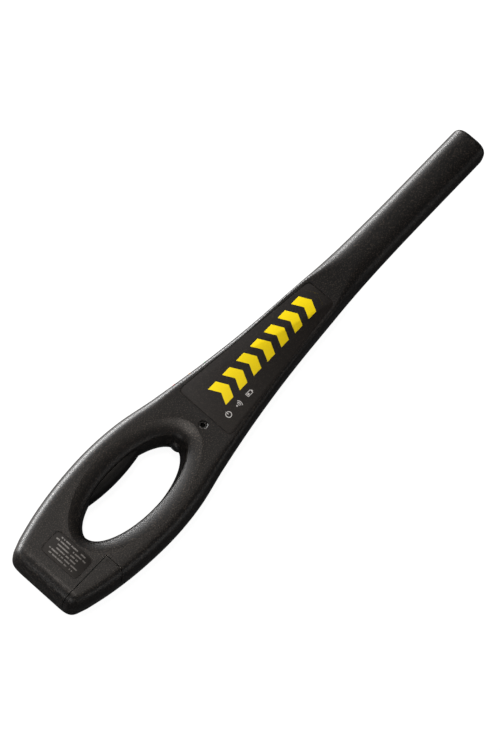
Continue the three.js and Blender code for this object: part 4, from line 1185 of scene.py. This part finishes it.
# The third number of each lens is the strength of its painted glow.
lens_tints = {
    "red": ((0.10, 0.004, 0.004), (0.55, 0.03, 0.02), 0.05),
    "amber": ((0.13, 0.045, 0.003), (0.75, 0.30, 0.02), 0.05),
    "green": ((0.003, 0.10, 0.02), (0.03, 0.62, 0.12), 0.15),
}
lens_looks = {
    lamp: finish("lens_" + lamp + "_tint", tinted(deep, bright), {"Emission Strength": painted_glow})
    for lamp, (deep, bright, painted_glow) in lens_tints.items()
}

# %% [markdown]
# ## Metals
# Plated steel has fine lines drawn along the part and faint stains. The windings are enamelled
# copper, whose turns are so thin that a fine ripple says more than modelled wires would.

# %% Metals


def plated(place):
    lines = noise(stretched(place, 0.15, 1.0, 1.0), 0.25, 3.0, 0.6)
    stain = noise(place, 3.0, 3.0)
    return {
        "Base Color": blend(stain, (0.42, 0.42, 0.43), (0.66, 0.66, 0.67)),
        "Roughness": 0.24 + 0.18 * lines + 0.10 * stain,
        "Normal": bump(lines, 0.01, 0.4),
    }


def wound_copper(place):
    ripple = place.node("ShaderNodeTexWave", {"bands_direction": "Z"}, {
        "Vector": place, "Scale": 1 / (0.45 * MM * 20 / math.tau), "Distortion": 1.5, "Detail": 1.0,
    }, "Fac")
    shade_of_wire = noise(place, 1.2, 2.0)
    return {
        "Base Color": blend(shade_of_wire, (0.32, 0.10, 0.035), (0.62, 0.25, 0.10)),
        "Roughness": 0.28 + 0.15 * ripple,
        "Normal": bump(ripple, 0.12, 0.8),
    }


steel = finish("plated_steel", plated, {"Metallic": 1.0})
copper = finish("wound_copper", wound_copper, {"Metallic": 0.85})

# %% [markdown]
# ## The circuit board, foam, nylon and wires
# The board is green lacquer over straight copper tracks. Foam is a field of small open cells.
# Natural nylon is milky, and the wires are smooth coloured plastic with a little dust.

# %% Board, foam, nylon, wires and the battery


def lacquered_board(place):
    across = axis_of(place, "Y") / 2.4
    track = abs(across.sum("FRACT", across) - 0.5)
    lane = between(noise(stretched(place, 0.25, 1.0, 1.0), 5.0, 1.0), 0.48, 0.52)
    tracks = between(track, 0.30, 0.34) * lane
    holes = 1 - between(cells(place, 3.4), 0.10, 0.14)
    green = blend(tracks, (0.006, 0.055, 0.022), (0.016, 0.125, 0.045))
    return {
        "Base Color": blend(holes, green, (0.55, 0.50, 0.40)),
        "Roughness": 0.25 + 0.12 * noise(place, 6.0),
        "Normal": bump(tracks + holes * 0.5, 0.04, 0.6),
    }


def open_foam(place):
    pores = cells(place, 0.8)
    return {
        "Base Color": blend(pores, (0.010, 0.010, 0.010), (0.080, 0.080, 0.082)),
        "Roughness": 0.90 + 0.08 * pores,
        "Normal": bump(pores, 0.5, 0.8),
    }


def natural_nylon(place):
    cloud = noise(place, 5.0, 3.0)
    return {
        "Base Color": blend(cloud, (0.60, 0.56, 0.48), (0.74, 0.71, 0.64)),
        "Roughness": 0.38 + 0.14 * cloud,
        "Normal": bump(noise(place, 0.5), 0.02, 0.5),
    }


def wire_skin(dark, light):
    def recipe(place):
        dust = noise(place, 1.5, 3.0)
        return {
            "Base Color": blend(dust, dark, light),
            "Roughness": 0.36 + 0.20 * dust,
            "Normal": bump(noise(place, 0.4), 0.02, 0.5),
        }

    return recipe


def battery_can(place):
    x = axis_of(place, "X")
    low, high = box_mm("battery_9v")
    share = (x - low[0]) / (high[0] - low[0])
    foil = noise(place, 0.5, 2.0)
    wrap = blend(foil, (0.012, 0.050, 0.060), (0.018, 0.070, 0.085))
    band = between(share, 0.70, 0.71)
    crimp = between(share, 0.955, 0.965)
    colour = blend(band, wrap, (0.62, 0.60, 0.56))
    return {
        "Base Color": blend(crimp, colour, (0.55, 0.55, 0.56)),
        "Metallic": 0.35 + 0.5 * band,
        "Roughness": 0.26 + 0.14 * foil,
        "Normal": bump(foil, 0.02, 0.5),
    }


looks = {
    "case": case_black,
    "label_film": label_black,
    "rubber": rubber,
    "chip": black_nylon,
    "steel": steel,
    "copper": copper,
    "board": finish("lacquered_board", lacquered_board, {"Coat Roughness": 0.12}),
    "foam": finish("open_foam", open_foam),
    "nylon": finish("natural_nylon", natural_nylon),
    "wire_red": finish("red_wire_skin", wire_skin((0.30, 0.010, 0.008), (0.44, 0.030, 0.022))),
    "wire_black": finish("black_wire_skin", wire_skin((0.010, 0.010, 0.010), (0.030, 0.030, 0.030))),
    "wire_blue": finish("blue_wire_skin", wire_skin((0.015, 0.055, 0.28), (0.035, 0.090, 0.40))),
    "battery_can": finish("battery_can", battery_can),
    **{"lens_" + lamp: look for lamp, look in lens_looks.items()},
}
print(len(looks), "finishes by slot")

# %% [markdown]
# ## Dressing every piece
# Each frame piece has a material slot in the record, so one loop dresses all of them, the hidden
# ones included. The new pieces take the finishes that they were made for.

# %% Dressing


def dress(piece, material):
    piece.data.materials.clear()
    piece.data.materials.append(material)


for row in frame["record"]["subparts"]:
    dress(frame["nodes"][row["node"]], looks[row["material_slot"]])
for piece in (front, back, door):
    dress(piece, case_black)
dress(neck_label, label_black)
dress(rating_plate, plate_black)
dress(pad, rubber)
dress(button, button_rubber)
dress(jack, black_nylon)
for lamp in LAMPS:
    dress(bpy.data.objects["lens_" + lamp + "_clear"], lens_looks[lamp])
for name in SCREWS:
    dress(bpy.data.objects[name + "_cut"], steel)

# %% [markdown]
# ## The camera
# The camera looks down on the wand from a little behind it and to one side, and is rolled so that
# the wand runs up to the right. Its axes are worked out from those few angles.

# %% The camera
BACKWARD_TILT = math.radians(21.0)
SIDE_TILT = math.radians(8.0)
ROLL_ANGLE = math.radians(-49.0)
AIM = Vector((-0.01832, -0.00187, 0.017))
CAMERA_DISTANCE = 1.9
LENS = 129.02

toward = Vector((-math.sin(BACKWARD_TILT), -math.sin(SIDE_TILT), 0))
toward.z = math.sqrt(1 - toward.x**2 - toward.y**2)
right = (-toward).cross(Vector((0, 1, 0))).normalized()
up = right.cross(-toward)
rolled_right = right * math.cos(ROLL_ANGLE) + up * math.sin(ROLL_ANGLE)
rolled_up = up * math.cos(ROLL_ANGLE) - right * math.sin(ROLL_ANGLE)

camera_data = bpy.data.cameras.new("view")
camera_data.lens = LENS
camera = bpy.data.objects.new("view", camera_data)
bpy.context.scene.collection.objects.link(camera)
axes = Matrix((rolled_right, rolled_up, toward)).transposed().to_4x4()
camera.matrix_world = Matrix.Translation(AIM + toward * CAMERA_DISTANCE) @ axes
bpy.context.scene.camera = camera
print("camera at", [round(v, 3) for v in camera.location])

# %% [markdown]
# ## The floor and the light
# A black object needs light to be seen by: its shape shows in what it reflects. The wand lies on a
# light table. Its top glows evenly and throws no light sideways, so it stays white while the wand's
# far side stays black. A long low lamp draws the bright line along one edge, one soft lamp catches
# the lip of the hand hole, and a small one overhead picks out the crowns. Two weak ones keep the
# other sides readable.

# %% The floor and the light
FLOOR_SIZE = 4.0
FLOOR_HEIGHT = -0.0006
floor_bm = bmesh.new()
bmesh.ops.create_grid(
    floor_bm, x_segments=1, y_segments=1, size=FLOOR_SIZE,
    matrix=Matrix.Translation((0, 0, FLOOR_HEIGHT)),
)
floor = finished("floor", floor_bm)
floor.visible_diffuse = False
floor.visible_glossy = False


def pale_floor(place):
    tone = noise(place, 400.0, 2.0)
    return {
        "Base Color": blend(tone, (0.11, 0.11, 0.11), (0.12, 0.12, 0.12)),
        "Roughness": 0.85 + 0.05 * tone,
    }


dress(floor, finish("pale_floor", pale_floor, {
    "Emission Color": (1.0, 1.0, 1.0), "Emission Strength": 0.95, "Specular IOR Level": 0.1,
}))


def soft_light(name, place, aim, width, depth, watts, colour=(1, 1, 1)):
    """A rectangular lamp of width by depth metres, turned from its place towards its aim."""
    data = bpy.data.lights.new(name, "AREA")
    data.shape = "RECTANGLE"
    data.size, data.size_y = width, depth
    data.energy = watts
    data.color = colour
    lamp = bpy.data.objects.new(name, data)
    lamp.location = place
    lamp.rotation_euler = (Vector(place) - Vector(aim)).to_track_quat("Z", "Y").to_euler()
    bpy.context.scene.collection.objects.link(lamp)


soft_light("edge_light", (0.05, 1.25, 0.095), (0.05, 0, 0.03), 1.9, 0.12, 122.0)
soft_light("lip_light", (0.56, 1.24, 0.66), (-0.1, 0, 0.02), 0.5, 0.30, 9.0, (0.97, 0.98, 1.0))
soft_light("top_light", (-0.22, 0.14, 1.5), (-0.05, 0, 0.02), 0.24, 0.24, 12.0, (1.0, 0.92, 0.85))
soft_light("far_fill", (0.1, -1.3, 0.35), (0.0, 0, 0.02), 1.4, 0.5, 5.0)
soft_light("butt_fill", (-1.3, -0.2, 0.40), (-0.2, 0, 0.02), 0.7, 0.4, 5.0)

world = bpy.data.worlds.new("dim_room")
world.use_nodes = True
sky = world.node_tree.nodes["Background"]
sky.inputs["Color"].default_value = (0.93, 0.95, 1.0, 1.0)
sky.inputs["Strength"].default_value = 0.05
bpy.context.scene.world = world
bpy.context.scene.view_settings.view_transform = "Standard"
